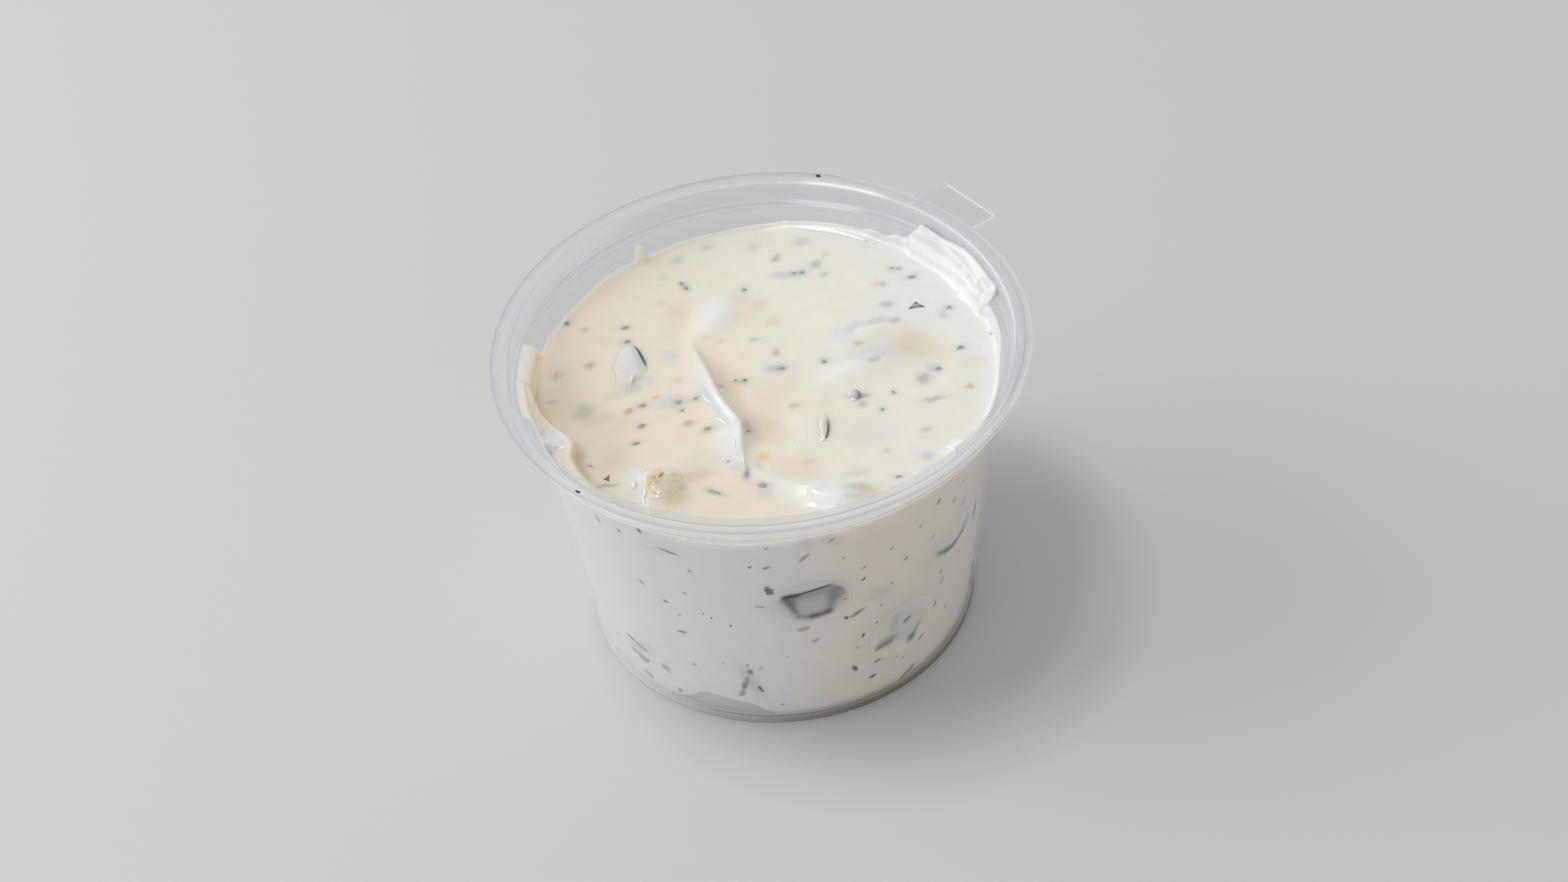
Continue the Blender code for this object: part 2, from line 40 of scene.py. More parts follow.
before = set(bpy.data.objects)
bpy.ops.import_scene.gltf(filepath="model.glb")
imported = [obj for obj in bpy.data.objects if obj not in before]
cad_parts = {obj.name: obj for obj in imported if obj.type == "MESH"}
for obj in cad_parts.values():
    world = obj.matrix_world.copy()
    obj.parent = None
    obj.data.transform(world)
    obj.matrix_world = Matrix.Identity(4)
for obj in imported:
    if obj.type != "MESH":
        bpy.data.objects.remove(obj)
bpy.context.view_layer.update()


# ---- small helpers -----------------------------------------------------------------------
def srgb(red, green, blue):
    """A colour as seen on a screen, 0 to 255, turned into linear values."""
    return np.array([((c / 255.0 + 0.055) / 1.055) ** 2.4 for c in (red, green, blue)])


def smooth(low, high, value):
    """0 below low, 1 above high, smooth between."""
    t = np.clip((np.asarray(value, float) - low) / (high - low), 0.0, 1.0)
    return t * t * (3.0 - 2.0 * t)


def window(azimuth, start, end, soft):
    """1 between two azimuths, falling to 0 over soft degrees outside them."""
    middle = 0.5 * (start + end)
    half = 0.5 * (end - start)
    off = np.abs((np.asarray(azimuth, float) - middle + 180.0) % 360.0 - 180.0)
    return 1.0 - smooth(half, half + soft, off)


def polar(radius, azimuth, z):
    """Points from their distance from the axis, azimuth and height, in millimetres."""
    angle = np.radians(azimuth)
    return np.stack(np.broadcast_arrays(radius * np.sin(angle), radius * np.cos(angle), z), -1)


def azimuth_of(x, y):
    """Azimuth of a spot, from 0 to 360."""
    return np.degrees(np.arctan2(x, y)) % 360.0


def blend(first, second, share):
    """Colours between two colours, for an array of shares."""
    share = np.asarray(share)[..., None]
    return first * (1.0 - share) + second * share


def spline(points, count):
    """A smooth curve through points, as count points spaced evenly along it."""
    points = [np.array(point, float) for point in points]
    ends = [2.0 * points[0] - points[1]] + points + [2.0 * points[-1] - points[-2]]
    curve = []
    for a, b, c, d in zip(ends, ends[1:], ends[2:], ends[3:]):
        for t in np.linspace(0.0, 1.0, 24, endpoint=False):
            curve.append(0.5 * (2.0 * b + (c - a) * t + (2.0 * a - 5.0 * b + 4.0 * c - d) * t * t
                                + (3.0 * b - a - 3.0 * c + d) * t ** 3))
    curve.append(points[-1])
    curve = np.array(curve)
    lengths = np.concatenate([[0.0], np.cumsum(np.linalg.norm(np.diff(curve, axis=0), axis=1))])
    at = np.linspace(0.0, lengths[-1], count)
    return np.stack([np.interp(at, lengths, curve[:, k]) for k in range(curve.shape[1])], -1)


def beside(line, x, y):
    """Share along a curve and distance from it, positive on its left as it runs."""
    x = np.asarray(x, float)
    y = np.asarray(y, float)
    nearest = np.full(x.shape, np.inf)
    share = np.zeros(x.shape)
    offset = np.zeros(x.shape)
    count = len(line) - 1
    for k in range(count):
        start = line[k]
        run = line[k + 1] - start
        length = math.hypot(*run)
        run = run / length
        along = np.clip((x - start[0]) * run[0] + (y - start[1]) * run[1], 0.0, length)
        away_x = x - start[0] - along * run[0]
        away_y = y - start[1] - along * run[1]
        distance = np.hypot(away_x, away_y)
        closer = distance < nearest
        side = np.where(run[0] * away_y - run[1] * away_x > 0.0, 1.0, -1.0)
        nearest = np.where(closer, distance, nearest)
        offset = np.where(closer, side * distance, offset)
        share = np.where(closer, (k + along / length) / count, share)
    return share, offset


def soft_noise(points, scale, seed):
    """Smooth noise from -1 to 1 at points in millimetres, scale millimetres to a swell."""
    shift = Vector((seed * 17.3, seed * 5.1, seed * 9.7))
    return np.array([noise.noise(Vector(point) / scale + shift) for point in points])


# ---- the cup's shape, in millimetres -------------------------------------------------------
RIM_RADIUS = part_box("cup")[1][0] / MM
CUP_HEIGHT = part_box("cup")[1][2] / MM
BASE_RADIUS = 27.65
WALL_FLARE = 0.1266
WALL = 0.55
FOOT_RADIUS = 27.85
BASE_TOP = 0.55
BASE_CORNER = 0.35
SHOULDER_Z = 42.2
SEAT_Z = 43.4
SEAT_RADIUS = 34.4
BAND_RADIUS = 34.9
CUP_SEGMENTS = 288


def outer_wall(z):
    """Outside radius of the tapered wall."""
    return BASE_RADIUS + WALL_FLARE * z


def outer_corners():
    """Corners of the outside as (radius, height, rounding), from the base to the crest."""
    wall_start = 0.48
    return [(0.0, 0.22, 0.0), (26.3, 0.22, 0.15), (26.6, 0.0, 0.12), (FOOT_RADIUS, 0.0, 0.12),
            (FOOT_RADIUS, 0.32, 0.08), (outer_wall(wall_start), wall_start, 0.08),
            (outer_wall(SHOULDER_Z), SHOULDER_Z, 0.35), (BAND_RADIUS, SHOULDER_Z + 0.4, 0.12),
            (BAND_RADIUS + 0.22, SHOULDER_Z + 0.7, 0.12),
            (BAND_RADIUS + 0.22, SHOULDER_Z + 1.1, 0.12), (BAND_RADIUS, SHOULDER_Z + 1.4, 0.12),
            (BAND_RADIUS + 0.1, 46.0, 0.3), (RIM_RADIUS, 46.08, 0.14),
            (RIM_RADIUS, 46.75, 0.14), (35.97, 46.75, 0.07), (35.82, CUP_HEIGHT, 0.1)]


def inner_corners():
    """Corners of the inside, from the crest down to the middle of the base."""
    return [(34.62, CUP_HEIGHT, 0.16), (34.47, 46.6, 0.3), (SEAT_RADIUS, SEAT_Z + 0.6, 0.35),
            (33.7, SEAT_Z, 0.3), (outer_wall(SEAT_Z) - 0.1, SEAT_Z - 0.15, 0.15),
            (outer_wall(41.9) - WALL, 41.9, 0.3),
            (outer_wall(BASE_TOP) - WALL, BASE_TOP, BASE_CORNER), (0.0, BASE_TOP, 0.0)]


def rounded(corners, steps):
    """A profile with each corner replaced by a short curve."""
    points = [np.array(corners[0][:2])]
    for before, corner, after in zip(corners, corners[1:], corners[2:]):
        middle = np.array(corner[:2])
        back = np.array(before[:2]) - middle
        ahead = np.array(after[:2]) - middle
        reach = min(corner[2], 0.48 * np.linalg.norm(back), 0.48 * np.linalg.norm(ahead))
        start = middle + back / np.linalg.norm(back) * reach
        end = middle + ahead / np.linalg.norm(ahead) * reach
        for t in np.linspace(0.0, 1.0, steps):
            points.append(start * (1 - t) ** 2 + middle * 2 * t * (1 - t) + end * t * t)
    points.append(np.array(corners[-1][:2]))
    return points


def subdivided(profile, longest):
    """A profile with its long straight runs divided."""
    points = [profile[0]]
    for start, end in zip(profile, profile[1:]):
        count = max(1, math.ceil(np.linalg.norm(end - start) / longest))
        points += [start + (end - start) * k / count for k in range(1, count + 1)]
    return points


INNER = rounded(inner_corners(), 7)
INNER_UP = [point for point in reversed(INNER) if point[0] > 20.0]
INNER_R = [point[0] for point in INNER_UP]
INNER_Z = [point[1] + 1e-6 * k for k, point in enumerate(INNER_UP)]


def inside_radius(z):
    """Radius of the cup's inside at a height."""
    return np.interp(z, INNER_Z, INNER_R)


# ---- meshes --------------------------------------------------------------------------------
class Builder:
    """Gathers points, faces and colours of one piece."""

    def __init__(self):
        self.points = []
        self.faces = []
        self.colours = []
        self.haze = []

    def add(self, points, colours, haze=0.0):
        """Add points with their colours and extra haze; gives the number of the first."""
        first = len(self.points)
        self.points.extend(np.asarray(points, float).reshape(-1, 3).tolist())
        count = len(self.points) - first
        self.colours.extend(np.broadcast_to(colours, (count, 3)).tolist())
        self.haze.extend(np.broadcast_to(haze, count).tolist())
        return first

    def strip(self, below, above):
        """Join two closed rings of the same length, or a ring and a single point."""
        count = max(len(below), len(above))
        for k in range(count):
            after = (k + 1) % count
            corners = [below[k % len(below)], below[after % len(below)],
                       above[after % len(above)], above[k % len(above)]]
            face = list(dict.fromkeys(corners))
            self.faces.append(face)

    def sheet(self, points, colours, under):
        """A closed piece from a sheet of points, rows by columns, and how far its underside lies."""
        rows, columns = points.shape[:2]
        index = self.add(points, colours.reshape(-1, 3)) + np.arange(rows * columns)
        index = index.reshape(rows, columns)
        for i in range(rows - 1):
            for j in range(columns - 1):
                self.faces.append([int(k) for k in (index[i, j], index[i + 1, j],
                                                    index[i + 1, j + 1], index[i, j + 1])])
        edge = [*index[0], *index[1:, -1], *index[-1, -2::-1], *index[-2:0:-1, 0]]
        edge = [int(k) for k in edge]
        rim = np.array([self.points[k] for k in edge])
        tones = np.array([self.colours[k] for k in edge])
        middle = rim.mean(axis=0)
        low = self.add(0.8 * rim + 0.2 * middle + under, tones)
        self.strip(edge, ring(low, len(edge)))
        self.strip(ring(low, len(edge)), [self.add([middle + under], tones.mean(axis=0))])

    def finish(self, name, material, slot, *nodes):
        """Make the object, give it its material, hang it under the root body and hide the CAD parts it
        replaces.
        """
        mesh = bpy.data.meshes.new(name)
        mesh.from_pydata((np.array(self.points) * MM).tolist(), [], self.faces)
        turned = bmesh.new()
        turned.from_mesh(mesh)
        bmesh.ops.recalc_face_normals(turned, faces=turned.faces)
        turned.to_mesh(mesh)
        turned.free()
        tint = mesh.color_attributes.new(name="tint", type="FLOAT_COLOR", domain="POINT")
        colours = np.ones((len(self.points), 4))
        colours[:, :3] = np.clip(np.array(self.colours), 0.0, 1.0)
        tint.data.foreach_set("color", colours.ravel())
        if any(self.haze):
            cloud = mesh.attributes.new(name="haze", type="FLOAT", domain="POINT")
            cloud.data.foreach_set("value", self.haze)
        mesh.shade_smooth()
        mesh.materials.append(material)
        mesh.update()
        obj = bpy.data.objects.new(name, mesh)
        bpy.context.scene.collection.objects.link(obj)
        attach(obj, "root")
        if nodes:
            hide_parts(*nodes)
        return obj


def ring(first, count):
    """Numbers of the points of a ring."""
    return list(range(first, first + count))


# ---- materials -----------------------------------------------------------------------------
def new_material(name):
    """A material with its nodes and Principled shader."""
    material = bpy.data.materials.new(name)
    material.use_nodes = True
    nodes = material.node_tree.nodes
    return material, nodes, material.node_tree.links, nodes["Principled BSDF"]


def add_node(nodes, kind, **values):
    """A node with some of its inputs set by name."""
    node = nodes.new(kind)
    for name, value in values.items():
        node.inputs[name].default_value = value
    return node


def plastic_material():
    """Clear plastic with a slight milky haze, moulded rings and a soft gloss."""
    material, nodes, links, shader = new_material("clear_plastic_look")
    shader.inputs["Roughness"].default_value = 0.16
    shader.inputs["IOR"].default_value = 1.49
    tint = add_node(nodes, "ShaderNodeVertexColor")
    tint.layer_name = "tint"
    links.new(tint.outputs["Color"], shader.inputs["Base Color"])
    # Fine rings: noise that changes only with the height and the distance from the axis.
    place = nodes.new("ShaderNodeTexCoord")
    split = nodes.new("ShaderNodeSeparateXYZ")
    links.new(place.outputs["Object"], split.inputs[0])
    flat = nodes.new("ShaderNodeCombineXYZ")
    links.new(split.outputs["X"], flat.inputs["X"])
    links.new(split.outputs["Y"], flat.inputs["Y"])
    reach = nodes.new("ShaderNodeVectorMath")
    reach.operation = "LENGTH"
    links.new(flat.outputs[0], reach.inputs[0])
    around = nodes.new("ShaderNodeCombineXYZ")
    links.new(reach.outputs["Value"], around.inputs["X"])
    links.new(split.outputs["Z"], around.inputs["Z"])
    rings = add_node(nodes, "ShaderNodeTexNoise", Scale=1400.0, Detail=2.0)
    links.new(around.outputs[0], rings.inputs["Vector"])
    bump = add_node(nodes, "ShaderNodeBump", Strength=0.05, Distance=0.00003)
    links.new(rings.outputs["Fac"], bump.inputs["Height"])
    links.new(bump.outputs["Normal"], shader.inputs["Normal"])
    # Haze: thin where the wall is seen square on, thicker at a slant.
    edge = add_node(nodes, "ShaderNodeLayerWeight", Blend=0.35)
    haze = nodes.new("ShaderNodeMapRange")
    haze.inputs["To Min"].default_value = HAZE_FACING
    haze.inputs["To Max"].default_value = HAZE_EDGE
    sharper = nodes.new("ShaderNodeMath")
    sharper.operation = "POWER"
    sharper.inputs[1].default_value = HAZE_SHARPNESS
    links.new(edge.outputs["Facing"], sharper.inputs[0])
    links.new(sharper.outputs[0], haze.inputs["Value"])
    extra = nodes.new("ShaderNodeAttribute")
    extra.attribute_name = "haze"
    total = nodes.new("ShaderNodeMath")
    total.operation = "ADD"
    total.use_clamp = True
    links.new(haze.outputs["Result"], total.inputs[0])
    links.new(extra.outputs["Fac"], total.inputs[1])
    clear = add_node(nodes, "ShaderNodeBsdfTransparent", Color=(0.97, 0.97, 0.98, 1.0))
    mix = nodes.new("ShaderNodeMixShader")
    links.new(total.outputs[0], mix.inputs["Fac"])
    links.new(clear.outputs[0], mix.inputs[1])
    links.new(shader.outputs[0], mix.inputs[2])
    links.new(mix.outputs[0], nodes["Material Output"].inputs["Surface"])
    return material


def food_material(name, roughness, bump_scale, bump_depth, soft_radius, soft_share, coat):
    """A moist surface coloured by its tint, with a fine bump and light that goes under it."""
    material, nodes, links, shader = new_material(name)
    tint = add_node(nodes, "ShaderNodeVertexColor")
    tint.layer_name = "tint"
    place = nodes.new("ShaderNodeTexCoord")
    cloud = add_node(nodes, "ShaderNodeTexNoise", Scale=420.0, Detail=4.0, Roughness=0.6)
    links.new(place.outputs["Object"], cloud.inputs["Vector"])
    shade = nodes.new("ShaderNodeMapRange")
    shade.inputs["To Min"].default_value = 0.965
    shade.inputs["To Max"].default_value = 1.03
    links.new(cloud.outputs["Fac"], shade.inputs["Value"])
    tone = nodes.new("ShaderNodeVectorMath")
    tone.operation = "SCALE"
    links.new(tint.outputs["Color"], tone.inputs[0])
    links.new(shade.outputs["Result"], tone.inputs["Scale"])
    links.new(tone.outputs[0], shader.inputs["Base Color"])
    gloss = nodes.new("ShaderNodeMapRange")
    gloss.inputs["To Min"].default_value = roughness - 0.07
    gloss.inputs["To Max"].default_value = roughness + 0.09
    links.new(cloud.outputs["Fac"], gloss.inputs["Value"])
    links.new(gloss.outputs["Result"], shader.inputs["Roughness"])
    shader.inputs["IOR"].default_value = 1.38
    shader.inputs["Subsurface Weight"].default_value = soft_share
    shader.inputs["Subsurface Radius"].default_value = (1.0, 0.78, 0.5)
    shader.inputs["Subsurface Scale"].default_value = soft_radius
    shader.inputs["Coat Weight"].default_value = coat
    shader.inputs["Coat Roughness"].default_value = 0.05
    grain = add_node(nodes, "ShaderNodeTexNoise", Scale=bump_scale, Detail=3.0)
    links.new(place.outputs["Object"], grain.inputs["Vector"])
    bump = add_node(nodes, "ShaderNodeBump", Strength=0.35, Distance=bump_depth)
    links.new(grain.outputs["Fac"], bump.inputs["Height"])
    links.new(bump.outputs["Normal"], shader.inputs["Normal"])
    return material


HAZE_FACING = 0.07
HAZE_EDGE = 0.62
HAZE_SHARPNESS = 2.5

PLASTIC = plastic_material()
YOGHURT = food_material("yoghurt_look", 0.30, 900.0, 0.00010, 0.0014, 0.5, 0.6)
CUCUMBER = food_material("cucumber_look", 0.24, 1500.0, 0.00008, 0.0006, 0.3, 0.7)
PRESSED = food_material("pressed_look", 0.6, 1500.0, 0.00003, 0.0002, 0.05, 0.0)
PRESSED.node_tree.nodes["Principled BSDF"].inputs["Specular IOR Level"].default_value = 0.05
HERB = food_material("herb_look", 0.35, 2500.0, 0.00006, 0.0003, 0.15, 0.2)


# ---- the cup -------------------------------------------------------------------------------
PLASTIC_TONE = srgb(222, 222, 229)
WALL_TONE = srgb(226, 226, 226)
FLANGE_TONE = srgb(224, 224, 227)
# colour of the painted shade on the profile's corners and edges
EDGE_SHADE_TONE = srgb(128, 128, 138)
# colour of the painted contact shadow along the foot
FOOT_SHADOW_TONE = srgb(116, 104, 86)
# How light the foot's painted contact shadow is, by azimuth: 1 takes the wall's tone.
FOOT_SHADE = ([0.0, 60.0, 100.0, 125.0, 160.0, 178.0, 205.0, 235.0, 270.0, 330.0, 360.0],
              [0.7, 0.4, 0.1, 0.0, 0.0, 0.15, 0.45, 0.85, 1.0, 0.9, 0.7])
GLINT_TONE = srgb(250, 250, 252)
# Corners and edges of the profile, darkened with painted shade, as (radius, height, how far, how dark).
EDGE_SHADE_LINES = [(35.93, 46.88, 0.11, 0.9), (RIM_RADIUS, 46.75, 0.16, 0.9),
              (35.12, 43.35, 0.10, 0.8), (34.95, 42.62, 0.11, 0.8), (34.42, 45.75, 0.10, 0.55),
              (33.7, 43.4, 0.12, 0.4), (33.1, 43.3, 0.10, 0.5)]


# Lines that catch the light, as (radius, height, how far, from azimuth, to azimuth, strength).
LIGHT_LINES = [(RIM_RADIUS, 46.5, 0.35, 25.0, 118.0, 1.0), (34.52, 46.75, 0.22, -60.0, 100.0, 0.55),
               (34.55, 46.85, 0.30, 17.0, 31.0, 1.0), (34.1, 43.55, 0.28, 13.0, 26.0, 1.0),
               (34.35, 43.9, 0.14, -70.0, 60.0, 0.5), (33.4, 43.25, 0.12, -60.0, 40.0, 0.35)]


def plastic_tone(radius, z, azimuth):
    """Colour and extra haze of the plastic along one ring of its profile."""
    dark = 0.0
    for line_radius, line_z, width, strength in EDGE_SHADE_LINES:
        away = math.hypot(radius - line_radius, z - line_z) / width
        dark = max(dark, strength * math.exp(-away * away))
    above = 39.5 if radius < outer_wall(z) - 0.3 and z < 42.5 else 42.0
    upper = float(smooth(above, above + 1.2, z))
    plain = blend(WALL_TONE, PLASTIC_TONE, upper)
    if radius > BAND_RADIUS and z > 45.9:
        plain = FLANGE_TONE
    # painted shade on the corners and edges
    tone = blend(plain, EDGE_SHADE_TONE, np.full(azimuth.shape, min(1.0, 1.1 * dark)))
    haze = np.full(azimuth.shape, 0.30 * dark + 0.12 * upper)
    for line_radius, line_z, width, start, end, strength in LIGHT_LINES:
        away = math.hypot(radius - line_radius, z - line_z) / width
        lit = strength * math.exp(-away * away) * window(azimuth, start, end, 6.0)
        tone = blend(tone, GLINT_TONE, lit)
        haze = haze + 0.55 * lit
    if radius > 34.75 and 42.6 < z < 46.6:
        front = 0.4 * window(azimuth, 130.0, 222.0, 30.0) * (1.0 - dark)
        tone = blend(tone, srgb(250, 247, 238), np.clip(3.0 * front, 0.0, 1.0))
        haze = haze + front
    if radius < 34.75 and 43.6 < z < 46.6:
        left = 0.26 * window(azimuth, 268.0, 318.0, 25.0)
        tone = blend(tone, srgb(248, 248, 250), np.clip(4.0 * left, 0.0, 1.0))
        haze = haze + left
    # painted contact shadow along the foot: darker and hazier where the foot's shade is low
    if z < 0.9 and radius > 25.0:
        foot = float(smooth(0.88, 0.74, z))
        shade = np.interp(azimuth, FOOT_SHADE[0], FOOT_SHADE[1])
        tone = blend(tone, blend(FOOT_SHADOW_TONE, WALL_TONE, shade), np.full(azimuth.shape, foot))
        haze = haze + foot * (0.75 - 0.55 * shade)
    return tone, haze


def make_cup():
    """The whole cup, turned from its rounded profile."""
    outside = rounded(outer_corners() + inner_corners()[:1], 5)[:-1]
    inside = rounded(outer_corners()[-1:] + inner_corners(), 7)[1:]
    profile = subdivided(outside + inside, 1.5)
    build = Builder()
    azimuths = np.arange(CUP_SEGMENTS) * 360.0 / CUP_SEGMENTS
    rings = []
    for radius, z in profile:
        if radius < 1e-6:
            rings.append([build.add([[0.0, 0.0, z]], PLASTIC_TONE)])
        else:
            tone, haze = plastic_tone(radius, z, azimuths)
            rings.append(ring(build.add(polar(radius, azimuths, z), tone, haze), CUP_SEGMENTS))
    for below, above in zip(rings, rings[1:]):
        build.strip(below, above)
    return build.finish("cup_shell", PLASTIC, "clear_plastic", "cup")


STUB_AZIMUTH = 50.0
STUB_TURN = 4.0
STUB_WIDTH = 10.6
STUB_TIP = 41.3
STUB_TOP = 46.6
STUB_THICKNESS = 0.42


def make_stub():
    """What is left of the lid's hinge: a thin plate that starts at the rim's outer edge."""
    build = Builder()
    across_steps = 24
    along_steps = 10
    half = 0.5 * STUB_WIDTH
    loops = []
    for level, inset in ((-STUB_THICKNESS, 0.12), (-0.5 * STUB_THICKNESS, 0.0), (0.0, 0.12)):
        loop = []
        for i in range(across_steps + 1):
            across = (half - inset) * (2.0 * i / across_steps - 1.0)
            loop.append((across, 0.0, level))
        for j in range(1, along_steps + 1):
            loop.append((half - inset, j / along_steps, level))
        for i in range(across_steps - 1, -1, -1):
            across = (half - inset) * (2.0 * i / across_steps - 1.0)
            loop.append((across, 1.0, level))
        for j in range(along_steps - 1, 0, -1):
            loop.append((inset - half, j / along_steps, level))
        loops.append(loop)
    turn = math.radians(STUB_TURN)
    angle = math.radians(STUB_AZIMUTH)
    rings = []
    for loop in loops:
        points = []
        edge_glint = []
        for across, share, level in loop:
            root = math.sqrt((RIM_RADIUS - 0.04) ** 2 - across ** 2)
            tip = STUB_TIP - 0.12 * abs(level + 0.5 * STUB_THICKNESS)
            out = root + (tip - root) * share
            tilt = (out - root) * math.sin(turn)
            points.append(((out - across * math.sin(turn) * share) * math.sin(angle)
                           + (across + tilt) * math.cos(angle),
                           (out - across * math.sin(turn) * share) * math.cos(angle)
                           - (across + tilt) * math.sin(angle),
                           STUB_TOP + level + 0.10 * share * share))
            # painted highlight along the tip and one side edge, with extra haze
            edge_glint.append(0.55 if share > 0.99 or across > half - 0.2 else 0.0)
        tone = blend(PLASTIC_TONE, GLINT_TONE, np.clip(np.array(edge_glint) * 2.0, 0.0, 1.0))
        rings.append(ring(build.add(points, tone, np.array(edge_glint)), len(points)))
    for below, above in zip(rings, rings[1:]):
        build.strip(below, above)
    for loop in (rings[0], rings[-1]):
        rim = np.array([build.points[k] for k in loop])
        middle = rim.mean(axis=0)
        inner = ring(build.add(middle + (rim - middle) * 0.93, PLASTIC_TONE, -0.03), len(loop))
        build.strip(loop, inner)
        build.strip(inner, [build.add([middle], PLASTIC_TONE, -0.03)])
    return build.finish("hinge_stub", PLASTIC, "clear_plastic")


# ---- the dip's surface, in millimetres -------------------------------------------------------
LEVEL = 39.75
LEVEL_SLOPE_X = 0.034
LEVEL_SLOPE_Y = 0.016

# Broad swells and hollows: x, y, length, width, heading of the length, height.
SWELLS = [
    (-25.6, 4.0, 9.0, 5.0, 0, -0.5), (-31.6, 10.4, 6.4, 1.7, 17, 1.7), (-6.2, 12.9, 4.6, 2.2, 32, 0.4),
    (-10.6, 14.0, 3.6, 2.0, 10, -0.35), (-12.0, -3.0, 7.0, 6.0, 0, 0.2),
    (0.8, -9.5, 5.0, 2.6, 5, -0.35), (2.0, 14.0, 6.0, 6.0, 0, -0.2),
    (8.0, -2.8, 5.4, 2.6, 62, 0.28), (14.2, 0.6, 4.6, 1.9, 62, 0.28),
    (14.5, 6.5, 4.0, 2.0, 75, 0.35), (21.5, 1.5, 5.4, 4.0, 20, -0.6),
    (12.5, 2.4, 4.4, 1.5, 62, -0.25), (16.5, 8.6, 3.8, 0.8, 82, -0.25),
    (6.6, -24.6, 3.4, 1.5, 108, 1.1), (4.4, -23.4, 1.4, 0.9, 110, 0.35),
    (9.9, -25.3, 2.0, 0.9, 110, 0.35), (12.0, -20.0, 8.0, 5.0, 60, 0.2),
    (-20.0, -10.0, 6.0, 4.0, 0, -0.3), (-23.5, -12.5, 3.2, 2.0, 30, 0.35),
    (-14.6, -19.4, 3.4, 2.8, 0, 0.55), (24.6, -18.4, 1.6, 0.9, 40, 0.5),
]

FOLD_LINE = spline([(-10.2, 12.5), (-9.3, 7.8), (-7.7, 1.8), (-7.05, -1.0), (-5.5, -5.2),
                    (-4.2, -7.9), (-3.8, -9.6), (-4.0, -13.0), (-3.8, -15.4)], 42)
LIP_LINE = spline([(-3.9, -14.6), (-2.4, -17.6), (0.6, -20.2), (3.7, -22.0), (7.5, -23.0)], 20)
LEDGE_LINE = spline([(-31.6, 14.6), (-32.9, 9.0), (-32.6, 3.2), (-31.8, -0.6), (-30.7, -4.2),
                     (-28.9, -7.0), (-27.2, -9.0), (-26.3, -10.6), (-26.6, -12.8),
                     (-25.8, -15.2), (-24.2, -17.6), (-21.8, -20.2)], 48)
STEP_LINE = spline([(-18.6, -15.4), (-17.7, -17.4), (-17.4, -20.5), (-17.2, -25.5)], 14)
SMEAR_FOOT = spline([(21.8, 24.4), (24.0, 21.9), (25.8, 19.6), (27.3, 16.8), (28.1, 13.6),
                     (29.9, 10.4), (32.2, 8.7)], 24)


def fold_height(x, y):
    """The long fold: a sharp crest with a long soft left side, a steep right side, a trough."""
    share, offset = beside(FOLD_LINE, x, y)
    strength = smooth(0.04, 0.45, share) * (1.0 - 0.6 * smooth(0.8, 1.0, share))
    left = np.exp(-np.clip(-offset, 0.0, 20.0) / (1.0 + 1.1 * share))
    crest = 1.2 * np.where(offset < 0.0, left, smooth(0.6, 0.0, offset))
    crease = 0.14 * np.exp(-((offset + 1.0) / 0.4) ** 2) * smooth(0.4, 0.5, share) \
        * smooth(0.8, 0.65, share)
    trough = 0.5 * np.exp(-((offset - 1.9) / 1.5) ** 2)
    return strength * (crest - crease - trough)


def lip_height(x, y):
    """The soft edge that runs on from the fold towards the front."""
    share, offset = beside(LIP_LINE, x, y)
    strength = smooth(0.0, 0.2, share) * (1.0 - smooth(0.8, 1.0, share))
    rise = smooth(1.1, -0.6, offset) * np.exp(-np.clip(-offset, 0.0, 9.0) / 3.0)
    return 0.5 * strength * rise


def ledge_height(x, y):
    """The step of dip left standing against the wall on the left."""
    share, offset = beside(LEDGE_LINE, x, y)
    crest = 4.1 - 1.6 * smooth(0.3, 0.62, share) - 1.9 * smooth(0.62, 1.0, share)
    face = smooth(0.75, -0.25, offset)
    brow = 0.22 * np.exp(-((offset + 0.45) / 0.4) ** 2)
    return crest * face + brow * smooth(0.0, 0.1, share) * smooth(1.0, 0.85, share)


def step_height(x, y):
    """The small steep face beside the soft core at the front left."""
    share, offset = beside(STEP_LINE, x, y)
    strength = smooth(0.0, 0.25, share) * (1.0 - 0.5 * smooth(0.8, 1.0, share))
    return 0.75 * strength * smooth(-0.35, 0.35, offset) * np.exp(-np.clip(offset, 0.0, 9.0) / 4.0)


def smear_foot_height(x, y):
    """The low ridge at the foot of the smear on the back right."""
    share, offset = beside(SMEAR_FOOT, x, y)
    strength = smooth(0.0, 0.12, share) * smooth(1.0, 0.9, share)
    uneven = 1.0 + 0.35 * np.sin(17.0 * share) + 0.2 * np.sin(41.0 * share + 1.0)
    ridge = 0.62 * np.exp(-(offset / 0.42) ** 2)
    behind = 0.35 * smooth(-0.2, 0.8, offset)
    return strength * uneven * (ridge + behind)


def dip_height(x, y):
    """Height of the dip's open surface."""
    x = np.asarray(x, float)
    y = np.asarray(y, float)
    height = on_level(x, y)
    for swell_x, swell_y, length, width, heading, rise in SWELLS:
        height = height + rise * soft_spot(x, y, swell_x, swell_y, length, width, heading)
    height = height + fold_height(x, y) + lip_height(x, y) + ledge_height(x, y)
    from_wall = np.clip(32.45 - np.hypot(x, y), -0.5, 9.0)
    wet = window(azimuth_of(x, y), 10.0, 30.0, 8.0)
    height = height + (0.2 + 0.8 * wet) * np.exp(-np.clip(from_wall, 0.0, 9.0) / (0.5 + 0.8 * wet))
    return height + step_height(x, y) + smear_foot_height(x, y)


def soft_spot(x, y, spot_x, spot_y, length, width, heading):
    """1 at a spot, falling away softly; heading is the azimuth of its length."""
    angle = math.radians(heading)
    along = (x - spot_x) * math.sin(angle) + (y - spot_y) * math.cos(angle)
    across = (x - spot_x) * math.cos(angle) - (y - spot_y) * math.sin(angle)
    return np.exp(-(along / length) ** 2 - (across / width) ** 2)


